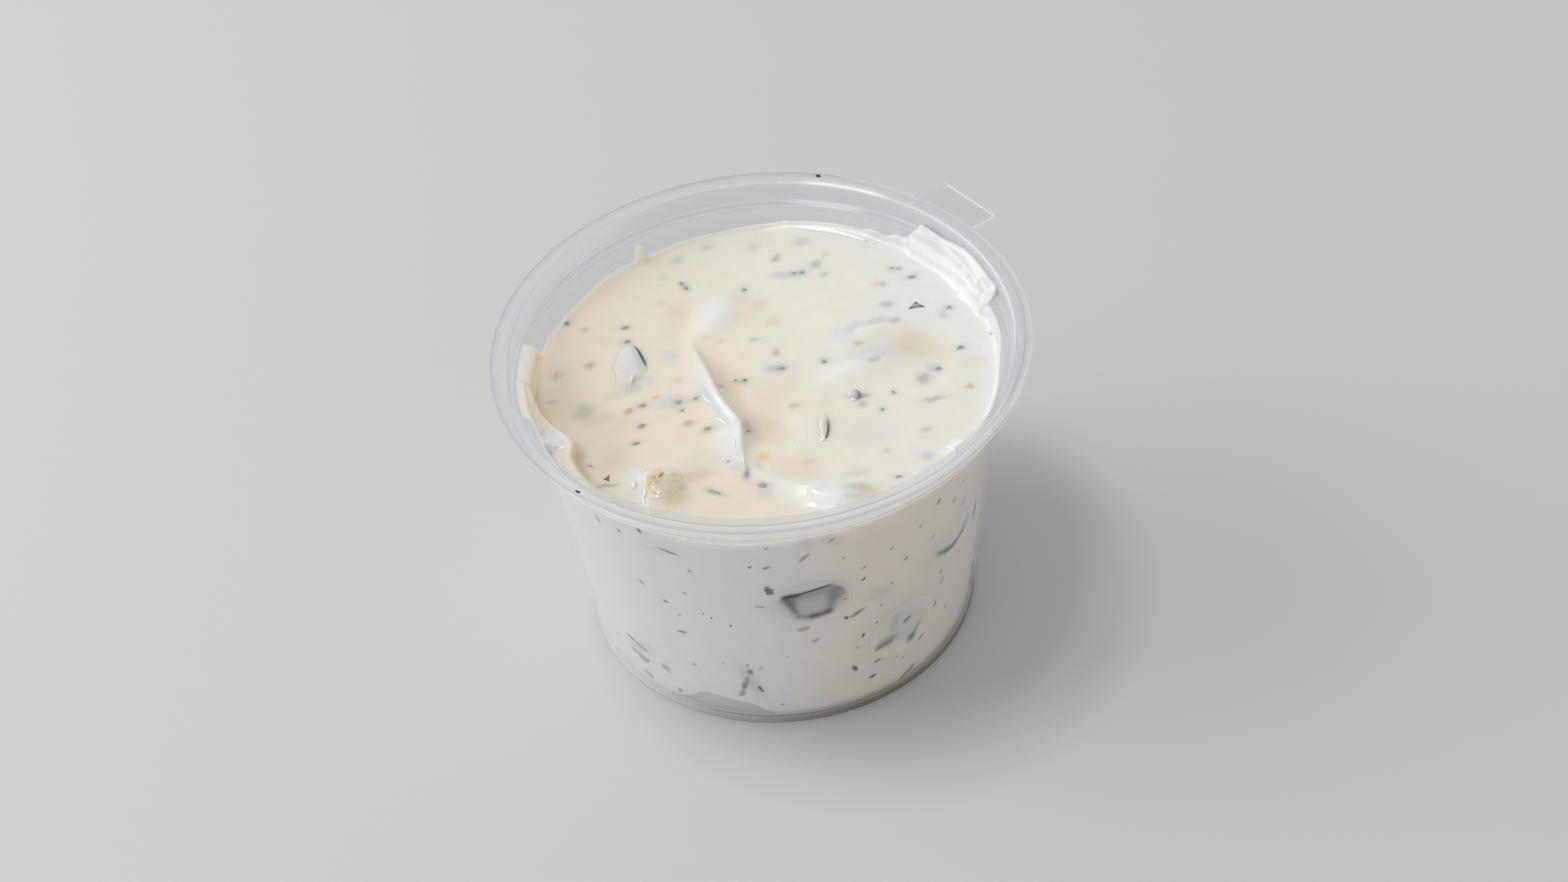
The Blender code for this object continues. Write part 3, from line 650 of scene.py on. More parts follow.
# ---- the film on the wall --------------------------------------------------------------------
def film_top(azimuth, edge_z):
    """Height up to which the dip clings to the cup."""
    wave = np.sin(np.radians(azimuth * 7.0)) + 0.6 * np.sin(np.radians(azimuth * 17.0 + 40.0))
    top = edge_z + 0.55 + 0.12 * wave - 0.3 * window(azimuth, 8.0, 30.0, 6.0)
    back = window(azimuth, 296.0, 326.0, 8.0)
    top = top + back * (edge_z + 0.75 + 0.2 * wave - top)
    smear = window(azimuth, 45.5, 75.5, 3.0)
    crown = 44.8 + 0.18 * np.sin(np.radians(azimuth * 19.0)) + 0.4 * smooth(52.0, 62.0, azimuth)
    top = top + smear * (crown - top)
    bits = window(azimuth, 33.0, 36.5, 4.0) * 0.6 + window(azimuth, 40.0, 43.5, 3.0) * 1.2
    top = top + bits * (1.0 - smear)
    right = window(azimuth, 79.0, 88.0, 12.0) * (1.0 - smear)
    top = top + right * (43.1 - top)
    left = window(azimuth, 258.0, 283.5, 3.4)
    top = top + left * (43.62 - top)
    peak = window(azimuth, 329.2, 331.3, 0.6)
    return np.maximum(top + 2.2 * peak, edge_z + 0.3)


def film_thickness(azimuth):
    """Thickness of the film at its foot."""
    thick = 0.36 + 0.74 * window(azimuth, 46.0, 75.5, 4.0)
    thick = thick - 0.14 * window(azimuth, 82.0, 135.0, 8.0)
    thick = thick + 0.4 * window(azimuth, 329.3, 331.0, 0.8)
    return thick - 0.22 * window(azimuth, 294.0, 325.0, 5.0)


# ---- colours of the dip ------------------------------------------------------------------------
CREAM = srgb(235, 227, 209)
PALE = srgb(234, 232, 223)
WHITE = srgb(234, 235, 234)
# painted highlight on the front mound
SNOW_HIGHLIGHT = srgb(243, 243, 244)
# mostly painted warm shade in hollows and beside folds, also a few small tan spots
TAN_TINT_AND_SHADE = srgb(216, 201, 172)
LAVENDER = srgb(204, 204, 211)
GREY = srgb(178, 181, 178)
GREEN = srgb(128, 140, 118)
OLIVE = srgb(176, 162, 110)
BROWN = srgb(158, 132, 96)
PINK = srgb(188, 174, 180)
ORANGE = srgb(226, 188, 122)
SMEAR_TONE = srgb(213, 214, 215)
# painted light: the tint of the fold's lit left face
FOLD_LIT_TONE = srgb(223, 225, 224)
FILM = srgb(226, 227, 230)
# painted shade in the air pocket between the dip and the wall
POCKET_SHADE = srgb(206, 205, 204)
LEAF = srgb(132, 137, 118)
DARK_LEAF = srgb(82, 92, 70)
SLATE = srgb(138, 142, 144)
INK = srgb(14, 18, 15)
SMOKE = srgb(112, 115, 112)
COAL = srgb(52, 56, 52)

# Soft stains on the open surface: x, y, length, width, heading, colour, strength.
STAINS = [
    # whiter places, and painted light on the lit faces of ridges, the step and the front mound
    (-5.6, 14.6, 4.4, 2.2, 35, WHITE, 0.6), (8.6, -1.2, 5.6, 3.0, 62, WHITE, 0.4),
    (14.4, 0.8, 4.0, 1.4, 62, WHITE, 0.3), (12.0, 7.0, 3.2, 2.2, 60, WHITE, 0.45),
    (27.0, 12.0, 6.0, 6.0, 0, WHITE, 0.5), (25.0, 19.0, 7.0, 5.0, 130, WHITE, 0.7),
    (31.6, -2.0, 12.0, 2.4, 0, WHITE, 0.75), (6.4, -24.2, 3.7, 1.9, 108, WHITE, 1.0), (6.6, -24.6, 2.8, 1.3, 108, SNOW_HIGHLIGHT, 0.8),
    (1.0, -20.6, 4.0, 1.6, 125, WHITE, 0.35), (-18.4, -16.4, 2.2, 1.1, 175, WHITE, 0.95),
    (-17.6, -20.4, 2.2, 0.5, 175, WHITE, 0.7), (2.5, -12.0, 6.0, 3.0, 100, WHITE, 0.25),
    (15.0, -19.0, 8.0, 4.0, 70, WHITE, 0.3), (-29.4, -6.6, 2.6, 1.4, 150, WHITE, 0.6),
    (-5.6, -11.0, 5.0, 1.5, 175, WHITE, 0.7), (23.9, -18.3, 1.9, 0.9, 40, WHITE, 0.9),
    (-17.2, 21.8, 1.0, 0.8, 0, WHITE, 0.2),
    # painted warm shade in hollows and beside the fold, and a few small tan spots
    (-11.2, 16.2, 2.4, 1.2, 0, TAN_TINT_AND_SHADE, 0.25), (-2.6, 13.6, 1.8, 1.3, 0, TAN_TINT_AND_SHADE, 0.25),
    (-2.4, 17.2, 2.4, 0.8, 100, TAN_TINT_AND_SHADE, 0.3), (21.9, 2.6, 3.2, 3.0, 40, TAN_TINT_AND_SHADE, 0.5),
    (28.6, -1.8, 2.6, 0.9, 110, TAN_TINT_AND_SHADE, 0.25), (-21.5, -11.5, 5.0, 1.6, 150, TAN_TINT_AND_SHADE, 0.35),
    (-28.5, 0.0, 4.0, 2.0, 170, TAN_TINT_AND_SHADE, 0.3), (-21.5, -5.2, 5.4, 1.6, 100, TAN_TINT_AND_SHADE, 0.3),
    (1.9, 11.3, 1.1, 0.8, 0, TAN_TINT_AND_SHADE, 0.35), (0.1, 15.4, 1.5, 1.0, 90, TAN_TINT_AND_SHADE, 0.35),
    (0.6, -11.0, 3.4, 1.6, 170, TAN_TINT_AND_SHADE, 0.35), (4.0, -3.0, 4.0, 2.4, 60, TAN_TINT_AND_SHADE, 0.2),
    (-4.7, 0.6, 5.6, 1.0, 163, TAN_TINT_AND_SHADE, 0.5), (-1.3, -9.4, 4.4, 1.4, 166, TAN_TINT_AND_SHADE, 0.4),
    (17.0, 16.6, 0.9, 0.5, 90, TAN_TINT_AND_SHADE, 0.45), (3.0, -18.0, 4.0, 1.4, 110, TAN_TINT_AND_SHADE, 0.25),
    # painted shade in grooves, and cucumber just under the surface
    (15.3, 2.4, 3.6, 1.0, 68, LAVENDER, 0.6), (16.8, 9.0, 2.6, 0.5, 84, LAVENDER, 0.6),
    (11.4, 7.0, 2.2, 1.3, 20, LAVENDER, 0.3), (12.9, 8.2, 1.6, 0.5, 35, LAVENDER, 0.55), (15.4, 1.2, 0.9, 0.35, 80, GREY, 0.6),
    (-25.0, -2.3, 1.9, 1.1, 75, GREEN, 0.34), (-23.2, -4.2, 2.4, 0.6, 68, GREY, 0.18),
    (-21.0, 0.2, 2.2, 0.6, 80, GREY, 0.2), (-22.0, 12.0, 2.6, 0.6, 100, GREY, 0.18),
    (-12.8, 7.0, 1.7, 0.8, 90, LAVENDER, 0.5), (-13.6, -2.4, 2.6, 1.2, 95, LAVENDER, 0.5),
    (-18.3, 1.5, 1.7, 0.8, 75, GREY, 0.5), (-15.9, 2.6, 0.9, 0.6, 90, LAVENDER, 0.5),
    (-17.4, 3.2, 1.0, 0.5, 60, GREY, 0.4), (3.9, 21.2, 2.0, 0.5, 95, LAVENDER, 0.75),
    (1.75, 1.75, 1.15, 1.0, 0, LAVENDER, 0.95), (-1.3, -22.2, 1.1, 0.8, 0, LAVENDER, 0.6),
    (13.0, -13.0, 5.0, 1.6, 90, LAVENDER, 0.2), (-9.6, -15.0, 4.0, 1.2, 95, LAVENDER, 0.2),
    (-3.0, -8.9, 1.6, 0.35, 165, GREEN, 0.35), (-13.4, -20.8, 2.2, 1.2, 110, OLIVE, 0.4),
    (-11.4, -17.4, 1.4, 2.6, 0, OLIVE, 0.3), (11.0, -23.1, 2.4, 0.5, 100, GREEN, 0.32), (12.4, -24.4, 1.8, 0.6, 100, OLIVE, 0.3),
    (10.2, -24.6, 1.6, 0.35, 105, GREY, 0.4), (10.9, -20.5, 2.2, 0.4, 85, GREY, 0.25),
    (8.9, 22.6, 1.1, 0.6, 60, GREY, 0.6), (-30.4, -8.0, 0.5, 0.4, 0, GREEN, 0.25),
    (-31.2, -5.6, 0.8, 0.5, 100, GREEN, 0.25), (12.6, -5.7, 0.5, 1.0, 10, BROWN, 0.45),
    # faint flecks under the surface
    (-24.6, 14.8, 0.8, 0.4, 60, GREY, 0.4), (-28.8, 5.7, 0.9, 0.6, 120, GREY, 0.55),
    (-29.6, 0.6, 1.0, 0.35, 85, GREY, 0.45), (-24.1, 7.2, 0.9, 0.5, 130, OLIVE, 0.6),
    (-18.9, -3.2, 0.8, 0.35, 75, OLIVE, 0.6), (-10.9, -7.1, 1.0, 0.4, 85, PINK, 0.75),
    (-12.1, 1.7, 1.0, 0.6, 90, PINK, 0.25), (-6.6, 29.4, 1.2, 0.5, 90, GREY, 0.4),
    (0.3, 28.2, 1.0, 0.7, 90, GREY, 0.35), (-10.9, 27.2, 1.2, 0.5, 80, GREY, 0.35),
    (-13.0, 23.9, 1.0, 0.4, 70, GREY, 0.3), (-13.4, 18.4, 0.9, 0.5, 70, GREY, 0.3),
    (-1.0, 8.3, 0.4, 0.35, 0, GREY, 0.5), (-5.6, 8.8, 0.4, 0.3, 0, GREY, 0.4),
    (-7.4, 9.9, 0.9, 0.4, 80, GREY, 0.2), (3.3, 24.9, 0.9, 0.5, 90, GREY, 0.75),
    (7.4, 27.9, 1.6, 0.6, 90, GREY, 0.4), (9.9, 20.2, 0.7, 0.35, 70, GREY, 0.5),
    (10.4, 24.4, 0.8, 0.4, 60, GREY, 0.3), (18.1, 12.1, 0.8, 0.7, 0, GREY, 0.65),
    (25.8, 8.6, 0.9, 0.5, 30, LAVENDER, 0.7), (21.7, -3.9, 1.3, 0.8, 100, PINK, 0.75),
    (23.0, -1.9, 1.2, 0.7, 80, LAVENDER, 0.6), (22.6, -8.2, 1.8, 0.4, 88, GREY, 0.65),
    (13.0, -7.5, 0.8, 0.5, 60, GREY, 0.65), (3.8, -6.1, 1.0, 0.4, 90, GREY, 0.6),
    (2.0, 4.9, 0.7, 0.5, 80, GREY, 0.7), (-0.5, 8.2, 0.4, 0.4, 0, GREY, 0.4),
    (13.6, 4.8, 0.6, 0.5, 0, OLIVE, 0.45), (18.9, 8.5, 0.9, 0.4, 85, GREY, 0.7),
    (20.9, -14.0, 1.0, 0.4, 70, GREY, 0.5), (15.3, -17.0, 0.7, 0.3, 70, GREY, 0.4),
    (20.6, -19.0, 1.1, 0.5, 110, LAVENDER, 0.8), (4.9, -17.2, 0.7, 0.5, 0, GREY, 0.3),
    (-5.0, -16.6, 1.2, 0.7, 0, GREY, 0.3), (-12.2, -19.2, 0.8, 0.4, 90, GREY, 0.5),
    (-22.4, -17.2, 0.5, 1.0, 0, GREEN, 0.5), (-16.2, 13.0, 0.6, 0.4, 0, GREY, 0.15),
    # crumbs of oil and pepper
    (-15.1, -1.0, 0.4, 0.4, 0, ORANGE, 0.9), (-1.1, -15.4, 1.0, 0.7, 60, ORANGE, 0.55),
    (27.8, -6.6, 0.5, 0.4, 0, ORANGE, 0.7), (-1.8, -17.0, 0.6, 0.35, 60, ORANGE, 0.35),
    (-23.5, -17.1, 0.6, 0.35, 60, ORANGE, 0.6),
]

# Herb flecks at the surface: x, y, half length, half width, heading, colour.
HERBS = [
    (-9.9, 20.9, 0.6, 0.32, 156, LEAF), (-10.4, 22.0, 0.55, 0.28, 150, GREEN),
    (-1.6, 19.0, 0.42, 0.34, 90, SLATE), (-27.3, 16.6, 0.6, 0.42, 100, GREEN),
    (-18.9, 14.1, 0.62, 0.34, 95, LEAF), (-18.7, 11.1, 0.7, 0.34, 80, LEAF),
    (-17.1, -2.4, 0.72, 0.34, 85, BROWN), (-12.0, -2.7, 0.7, 0.42, 100, SLATE),
    (-11.6, -4.4, 0.38, 0.26, 60, LEAF), (-9.6, -2.3, 0.7, 0.38, 65, SLATE),
    (-6.1, -0.5, 0.3, 0.24, 60, BROWN), (-3.95, 0.3, 0.46, 0.28, 120, DARK_LEAF),
    (-2.75, 0.05, 0.62, 0.34, 80, DARK_LEAF), (-8.3, -8.6, 0.72, 0.4, 60, SLATE),
    (-17.3, -6.4, 0.58, 0.32, 80, LEAF), (-18.2, -9.7, 0.62, 0.3, 85, LEAF),
    (-8.05, -20.8, 1.25, 0.26, 122, SLATE), (-3.6, -18.2, 0.95, 0.36, 12, SLATE),
    (-1.7, -20.6, 0.45, 0.6, 10, SLATE), (-2.8, -10.0, 0.26, 0.3, 0, LEAF),
    (5.7, 21.2, 0.5, 0.3, 95, SLATE), (6.8, 21.2, 0.6, 0.4, 85, SLATE),
    (19.6, 19.7, 0.5, 0.32, 70, SLATE), (20.5, 19.4, 0.32, 0.28, 0, SLATE),
    (22.2, 17.3, 0.7, 0.3, 80, SLATE), (18.0, 16.6, 0.34, 0.24, 60, OLIVE),
    (26.7, 9.9, 0.42, 0.34, 60, LEAF), (32.0, 3.5, 0.26, 0.26, 0, SLATE),
    (27.3, 1.4, 0.62, 0.32, 80, LEAF), (23.8, -2.3, 0.6, 0.36, 90, GREEN),
    (17.3, -5.9, 0.45, 0.24, 150, LEAF), (15.5, -9.0, 0.38, 0.28, 60, LEAF),
    (8.4, 2.0, 0.48, 0.3, 75, LEAF), (2.4, 1.6, 0.34, 0.6, 0, SLATE),
    (16.4, -22.1, 0.6, 0.2, 92, SLATE), (-5.9, -15.3, 0.22, 0.16, 0, GREEN),
    (-24.4, -13.1, 0.55, 0.16, 120, LEAF), (-30.0, -9.4, 0.75, 0.16, 152, SLATE),
]


def on_level(x, y):
    """Height of the level the dip would settle to."""
    return LEVEL + LEVEL_SLOPE_X * x + LEVEL_SLOPE_Y * y


EYE_Y = -302.0
EYE_Z = 310.0


def as_seen(x, y, z):
    """Where a point shows on the level plane, to an eye in front of and above the cup."""
    stretch = (EYE_Z - on_level(x, y)) / (EYE_Z - z)
    return x * stretch, EYE_Y + (y - EYE_Y) * stretch


def on_surface(x, y):
    """The spot of the open surface that shows at x, y on the level plane."""
    spot_x, spot_y = x, y
    for _ in range(12):
        stretch = (EYE_Z - on_level(spot_x, spot_y)) / (EYE_Z - dip_height(spot_x, spot_y))
        spot_x = x / stretch
        spot_y = EYE_Y + (y - EYE_Y) / stretch
    return float(spot_x), float(spot_y)


def top_colour(x, y, z):
    """Colour of the dip's open surface."""
    x = np.asarray(x, float)
    y = np.asarray(y, float)
    tone = blend(CREAM, PALE, smooth(-14.0, 30.0, 0.9 * x + 0.45 * y))
    tone = blend(tone, WHITE, 0.55 * smooth(30.0, 32.5, np.hypot(x, y)) * smooth(0.0, 14.0, x))
    share, offset = beside(FOLD_LINE, x, y)
    along = smooth(0.12, 0.4, share)
    # painted light: the fold's left face, which faces the light, tinted whiter
    tone = blend(tone, FOLD_LIT_TONE, 0.9 * along * smooth(-3.2, -1.2, offset) * smooth(0.3, -0.1, offset))
    # painted tan shade in the trough on the fold's right side
    shade = np.exp(-np.clip(offset, 0.0, 20.0) / 1.7) * smooth(0.1, 0.6, offset)
    tone = blend(tone, TAN_TINT_AND_SHADE, 0.38 * smooth(0.02, 0.3, share) * shade * smooth(1.0, 0.9, share))
    share, offset = beside(LEDGE_LINE, x, y)
    face = smooth(-0.5, 0.1, offset) * smooth(1.9, 0.4, offset) * smooth(1.0, 0.8, share)
    # painted tan shade on the ledge's steep inner face; paler on its top
    tone = blend(tone, srgb(205, 190, 148), 0.8 * face)
    tone = blend(tone, PALE, 0.6 * smooth(-0.2, -0.9, offset) * smooth(1.0, 0.9, share))
    share, offset = beside(LIP_LINE, x, y)
    tone = blend(tone, WHITE, 0.35 * smooth(1.0, -0.4, offset) * smooth(-4.0, -1.0, offset)
                 * smooth(0.0, 0.2, share) * smooth(1.0, 0.8, share))
    seen_x, seen_y = as_seen(x, y, z)
    spots = np.stack([x, y, 0.0 * x], -1).reshape(-1, 3)
    seen_x = seen_x + 0.30 * soft_noise(spots, 0.9, 7).reshape(x.shape)
    seen_y = seen_y + 0.30 * soft_noise(spots, 0.9, 8).reshape(x.shape)
    for stain_x, stain_y, length, width, heading, colour, strength in STAINS:
        spot = soft_spot(seen_x, seen_y, stain_x, stain_y, 0.76 * length, 1.35 * width, heading)
        tone = blend(tone, colour, strength * np.clip(1.4 * spot, 0.0, 1.0))
    for herb_x, herb_y, length, width, heading, colour in HERBS:
        spot = soft_spot(seen_x, seen_y, herb_x, herb_y, 1.5 * length, 2.1 * width, heading)
        tone = blend(tone, blend(GREY, colour, 0.2), 0.5 * spot)
    return tone


def side_colour(azimuth, z):
    """Colour of the dip where it lies against the wall."""
    azimuth = np.asarray(azimuth, float)
    z = np.asarray(z, float)
    warm = window(azimuth, 95.0, 158.0, 38.0)
    tone = blend(srgb(226, 226, 225), srgb(226, 216, 199), warm)
    sunny = window(azimuth, 105.0, 172.0, 10.0) * smooth(36.0, 41.5, z)
    tone = blend(tone, CREAM, 0.8 * sunny)
    for spot_az, spot_z, length, width, heading, colour, strength in WALL_STAINS:
        around = ((azimuth - spot_az + 180.0) % 360.0 - 180.0) * math.pi / 180.0
        spot = soft_spot(around * outer_wall(z), z, 0.0, spot_z, length, width, heading)
        tone = blend(tone, colour, strength * np.clip(1.6 * spot, 0.0, 1.0))
    # grey painted shade where the air pocket leaves a gap behind the wall
    inside = pocket_depth(azimuth, z)
    return blend(tone, POCKET_SHADE, np.clip(inside * 1.2, 0.0, 1.0))


# Top edge of the air pocket at the foot of the wall, as (azimuth, height).
POCKET_EDGE = [(185.0, 0.9), (188.2, 1.6), (190.6, 2.7), (193.3, 3.4), (197.6, 3.8), (202.5, 4.3),
               (206.0, 4.5), (208.6, 4.0), (211.3, 2.6), (214.5, 1.7), (219.0, 0.9)]


def pocket_depth(azimuth, z):
    """The air pocket at the foot of the wall: 1 inside it, 0 outside."""
    top = np.interp(azimuth, [p[0] for p in POCKET_EDGE], [p[1] for p in POCKET_EDGE])
    inside = smooth(185.0, 187.5, azimuth) * smooth(219.0, 215.0, azimuth)
    return inside * smooth(top + 0.18, top - 0.18, z) * smooth(0.9, 1.35, z)


# Soft stains behind the wall: azimuth, height, length, width, heading, colour, strength.
WALL_STAINS = [
    (174.0, 40.2, 1.7, 1.2, 0, LAVENDER, 0.9), (155.0, 23.6, 1.9, 1.1, 80, GREY, 0.4),
    (174.0, 27.0, 5.2, 3.6, 90, GREY, 0.35), (148.0, 14.6, 5.2, 4.4, 60, GREY, 0.3),
    (192.0, 9.2, 3.6, 0.9, 20, GREY, 0.5), (210.0, 36.0, 3.0, 0.6, 105, LAVENDER, 0.5),
    (168.0, 38.6, 1.6, 0.6, 60, GREY, 0.4), (158.0, 7.6, 4.0, 1.0, 80, LAVENDER, 0.3),
    (228.0, 8.8, 3.0, 1.0, 125, GREY, 0.45), (129.0, 24.2, 5.0, 2.2, 90, GREY, 0.35),
]

GRID = 200
FILM_ROWS = 10
SIDE_ROWS = 53
LOW_ROWS_FROM = 29            # from this row down the rows are closer, round the air pocket
LOW_Z = 5.6
SUNK = 0.05                   # how far the dip reaches into the plastic


def disk_grid(steps):
    """A square grid mapped onto the unit disk: angles, radii, its quads and its outer ring."""
    line = np.linspace(-1.0, 1.0, steps + 1)
    u, v = np.meshgrid(line, line, indexing="ij")
    wide = np.abs(u) > np.abs(v)
    safe_u = np.where(u == 0.0, 1.0, u)
    safe_v = np.where(v == 0.0, 1.0, v)
    radius = np.where(wide, u, v)
    angle = np.where(wide, 0.25 * math.pi * v / safe_u,
                     0.5 * math.pi - 0.25 * math.pi * u / safe_v)
    x = radius * np.cos(angle)
    y = radius * np.sin(angle)
    x[(u == 0.0) & (v == 0.0)] = 0.0
    y[(u == 0.0) & (v == 0.0)] = 0.0
    quads = []
    wide_row = steps + 1
    for i in range(steps):
        for j in range(steps):
            first = i * wide_row + j
            quads.append([first, first + wide_row, first + wide_row + 1, first + 1])
    outer = [k * wide_row for k in range(steps)]
    outer += [steps * wide_row + k for k in range(steps)]
    outer += [(steps - k) * wide_row + steps for k in range(steps)]
    outer += [steps - k for k in range(steps)]
    return x.ravel(), y.ravel(), quads, outer


def make_dip():
    """The dip: open surface, film on the wall, side and underside, as one closed mesh."""
    unit_x, unit_y, quads, outer = disk_grid(GRID)
    azimuth = azimuth_of(unit_x, unit_y)
    reach = np.hypot(unit_x, unit_y)
    edge_z = np.full(azimuth.shape, LEVEL)
    for _ in range(6):
        edge_r = inside_radius(edge_z) - film_thickness(azimuth)
        edge_z = dip_height(*polar(edge_r, azimuth, 0.0).T[:2])
    settled = 31.3
    radius = reach * (settled + (edge_r - settled) * reach ** 4)
    points = polar(radius, azimuth, 0.0)
    x, y = points[:, 0], points[:, 1]
    points[:, 2] = dip_height(x, y)
    flat = smooth(1.0, 0.93, reach)
    ripples = 0.10 * soft_noise(points, 6.0, 1) + 0.035 * soft_noise(points, 2.1, 2)
    points[:, 2] += flat * ripples
    build = Builder()
    build.add(points, top_colour(x, y, points[:, 2]))
    build.faces.extend(quads)
    count = len(outer)
    ring_azimuth = azimuth[outer]
    ring_z = points[outer, 2]
    ring_r = radius[outer]
    thick = inside_radius(ring_z) - ring_r
    top_z = film_top(ring_azimuth, ring_z)
    last = list(outer)
    edge_tone = top_colour(x[outer], y[outer], ring_z)
    for row in range(1, FILM_ROWS + 1):
        share = row / (FILM_ROWS + 1)
        z = ring_z + (top_z - ring_z) * share
        nose = np.clip(1.0 - share, 0.0, 1.0) ** 0.45
        relief = film_relief(ring_azimuth, z, share)
        level = build.add(polar(inside_radius(z) - thick * nose - relief, ring_azimuth, z),
                          blend(edge_tone, film_colour(ring_azimuth, edge_tone, share),
                                smooth(0.0, 0.4, share)))
        build.strip(last, ring(level, count))
        last = ring(level, count)
    corner_z = BASE_TOP + 0.02
    for row in range(SIDE_ROWS + 1):
        share = row / LOW_ROWS_FROM
        z = top_z + (LOW_Z - top_z) * min(share, 1.0)
        if share > 1.0:
            z = z + (corner_z - LOW_Z) * (row - LOW_ROWS_FROM) / (SIDE_ROWS - LOW_ROWS_FROM)
        dent = 0.22 * pocket_depth(ring_azimuth, z)
        tone = side_colour(ring_azimuth, z)
        level = build.add(polar(inside_radius(z) + SUNK - dent, ring_azimuth, z), tone)
        build.strip(last, ring(level, count))
        last = ring(level, count)
    level = build.add(polar(inside_radius(corner_z) + SUNK, ring_azimuth, corner_z - 0.03), tone)
    build.strip(last, ring(level, count))
    last = ring(level, count)
    floor_z = BASE_TOP - SUNK
    for radius_in in (26.6, 18.0, 6.0):
        level = build.add(polar(radius_in, ring_azimuth, floor_z), CREAM)
        build.strip(last, ring(level, count))
        last = ring(level, count)
    middle = build.add([[0.0, 0.0, floor_z]], CREAM)
    build.strip(last, [middle])
    return build.finish("dip_body", YOGHURT, "yoghurt", "dip")


def film_colour(azimuth, edge_tone, share):
    """Colour of the film: white in the smear, grey where it is thin; on the ledge, painted tan shade
    low down and paler towards the top.
    """
    tone = blend(edge_tone, SMEAR_TONE, 0.3 + 0.7 * window(azimuth, 30.0, 112.0, 12.0))
    tone = blend(tone, FILM, 0.9 * window(azimuth, 292.0, 327.0, 3.0))
    ledge = window(azimuth, 256.0, 285.0, 4.0)
    # painted tan shade low on the ledge's film, paler towards its top
    tone = blend(tone, srgb(222, 208, 172), 0.85 * ledge * smooth(0.62, 0.45, share))
    return blend(tone, srgb(238, 235, 226), 0.9 * ledge * smooth(0.5, 0.72, share))


def film_relief(azimuth, z, share):
    """Ridges and dents on the face of the film, in millimetres towards the axis."""
    smear = window(azimuth, 47.0, 74.0, 4.0)
    body = math.sin(math.pi * share) ** 0.5
    ridge = 0.42 * np.exp(-((z - 44.3 + 0.03 * (azimuth - 60.0)) / 0.3) ** 2)
    knob = 0.6 * window(azimuth, 71.5, 74.0, 2.0) * np.exp(-((z - 44.0) / 0.45) ** 2)
    waves = 0.05 * np.sin(np.radians(azimuth * 19.0 + 30.0 * z)) \
        + 0.04 * np.sin(np.radians(azimuth * 31.0 - 45.0 * z))
    return body * smear * (ridge + knob + waves)


# ---- cucumber, herbs and crumbs at the surface ---------------------------------------------------
def lifted(x, y, lift):
    """Points of the open surface raised by lift."""
    return np.stack(np.broadcast_arrays(x, y, dip_height(x, y) + lift), -1)


def between(left, right, rows, columns):
    """A sheet of spots between two curves, with the share along and the share across."""
    along, across = np.meshgrid(np.linspace(0.0, 1.0, rows), np.linspace(0.0, 1.0, columns),
                                indexing="ij")
    start = spline(left, rows)[:, None, :]
    end = spline(right, rows)[:, None, :]
    spots = start + (end - start) * across[..., None]
    return spots[..., 0], spots[..., 1], along, across


def make_left_slice():
    """The slice on the left: pale flesh half under the dip, with a dark green skin."""
    left = [(-18.9, 10.3), (-20.2, 8.6), (-20.9, 6.0), (-20.8, 3.2), (-19.8, 0.4)]
    right = [(-18.2, 10.5), (-17.1, 9.0), (-16.45, 7.3), (-16.1, 5.6), (-16.1, 3.6)]
    x, y, along, across = between(left, right, 64, 40)
    fade = smooth(0.0, 0.16, along) * smooth(1.0, 0.55, along)
    body = smooth(0.0, 0.8, across) * (1.0 - 0.25 * smooth(0.7, 0.94, across))
    lift = 0.62 * fade * body * smooth(1.03, 0.95, across) - 0.03
    lift = lift * smooth(0.0, 0.1, along) - 0.08 * smooth(0.75, 1.0, along)
    points = lifted(x, y, lift)
    under = top_colour(x, y, points[..., 2])
    flesh = blend(srgb(216, 217, 221), srgb(196, 205, 198), smooth(0.6, 0.9, across))
    shown = smooth(0.0, 0.45, across) * smooth(0.0, 0.12, along) * smooth(1.0, 0.6, along)
    tone = blend(under, flesh, 0.9 * shown)
    width = 0.07 * np.sin(math.pi * np.clip(along * 1.3, 0.0, 1.0)) ** 0.7
    skin = smooth(0.965 - width - 0.02, 0.975 - width, across) * smooth(0.995, 0.97, across)
    tone = blend(tone, blend(srgb(34, 78, 46), srgb(96, 116, 88), smooth(0.6, 0.8, along)),
                 skin * smooth(0.8, 0.72, along))
    build = Builder()
    build.sheet(points, tone, [0.0, 0.0, -0.5])
    return build.finish("cucumber_left_slice", CUCUMBER, "cucumber", "cucumber_left")


def make_sliver():
    """The narrow sliver towards the front right, with a dark edge."""
    left = [(7.0, -8.3), (6.75, -9.6), (6.65, -11.6), (6.8, -13.2)]
    right = [(7.6, -8.0), (8.05, -9.8), (8.0, -11.8), (7.5, -13.5)]
    x, y, along, across = between(left, right, 44, 20)
    ends = smooth(0.0, 0.4, along) * smooth(1.0, 0.96, along)
    lift = 0.36 * ends * smooth(0.0, 0.85, across) * smooth(1.1, 0.96, across) - 0.05
    points = lifted(x, y, lift)
    under = top_colour(x, y, points[..., 2])
    tone = blend(under, blend(srgb(186, 187, 191), srgb(176, 177, 178), smooth(0.1, 0.6, along)),
                 0.85 * smooth(0.1, 0.7, across) * ends)
    dark = smooth(0.8, 0.93, across) * smooth(0.3, 0.6, along)
    tone = blend(tone, blend(srgb(140, 140, 136), srgb(44, 48, 44), smooth(0.2, 0.6, along)), dark)
    build = Builder()
    build.sheet(points, tone, [0.0, 0.0, -0.5])
    return build.finish("cucumber_sliver_soft", CUCUMBER, "cucumber", "cucumber_sliver")


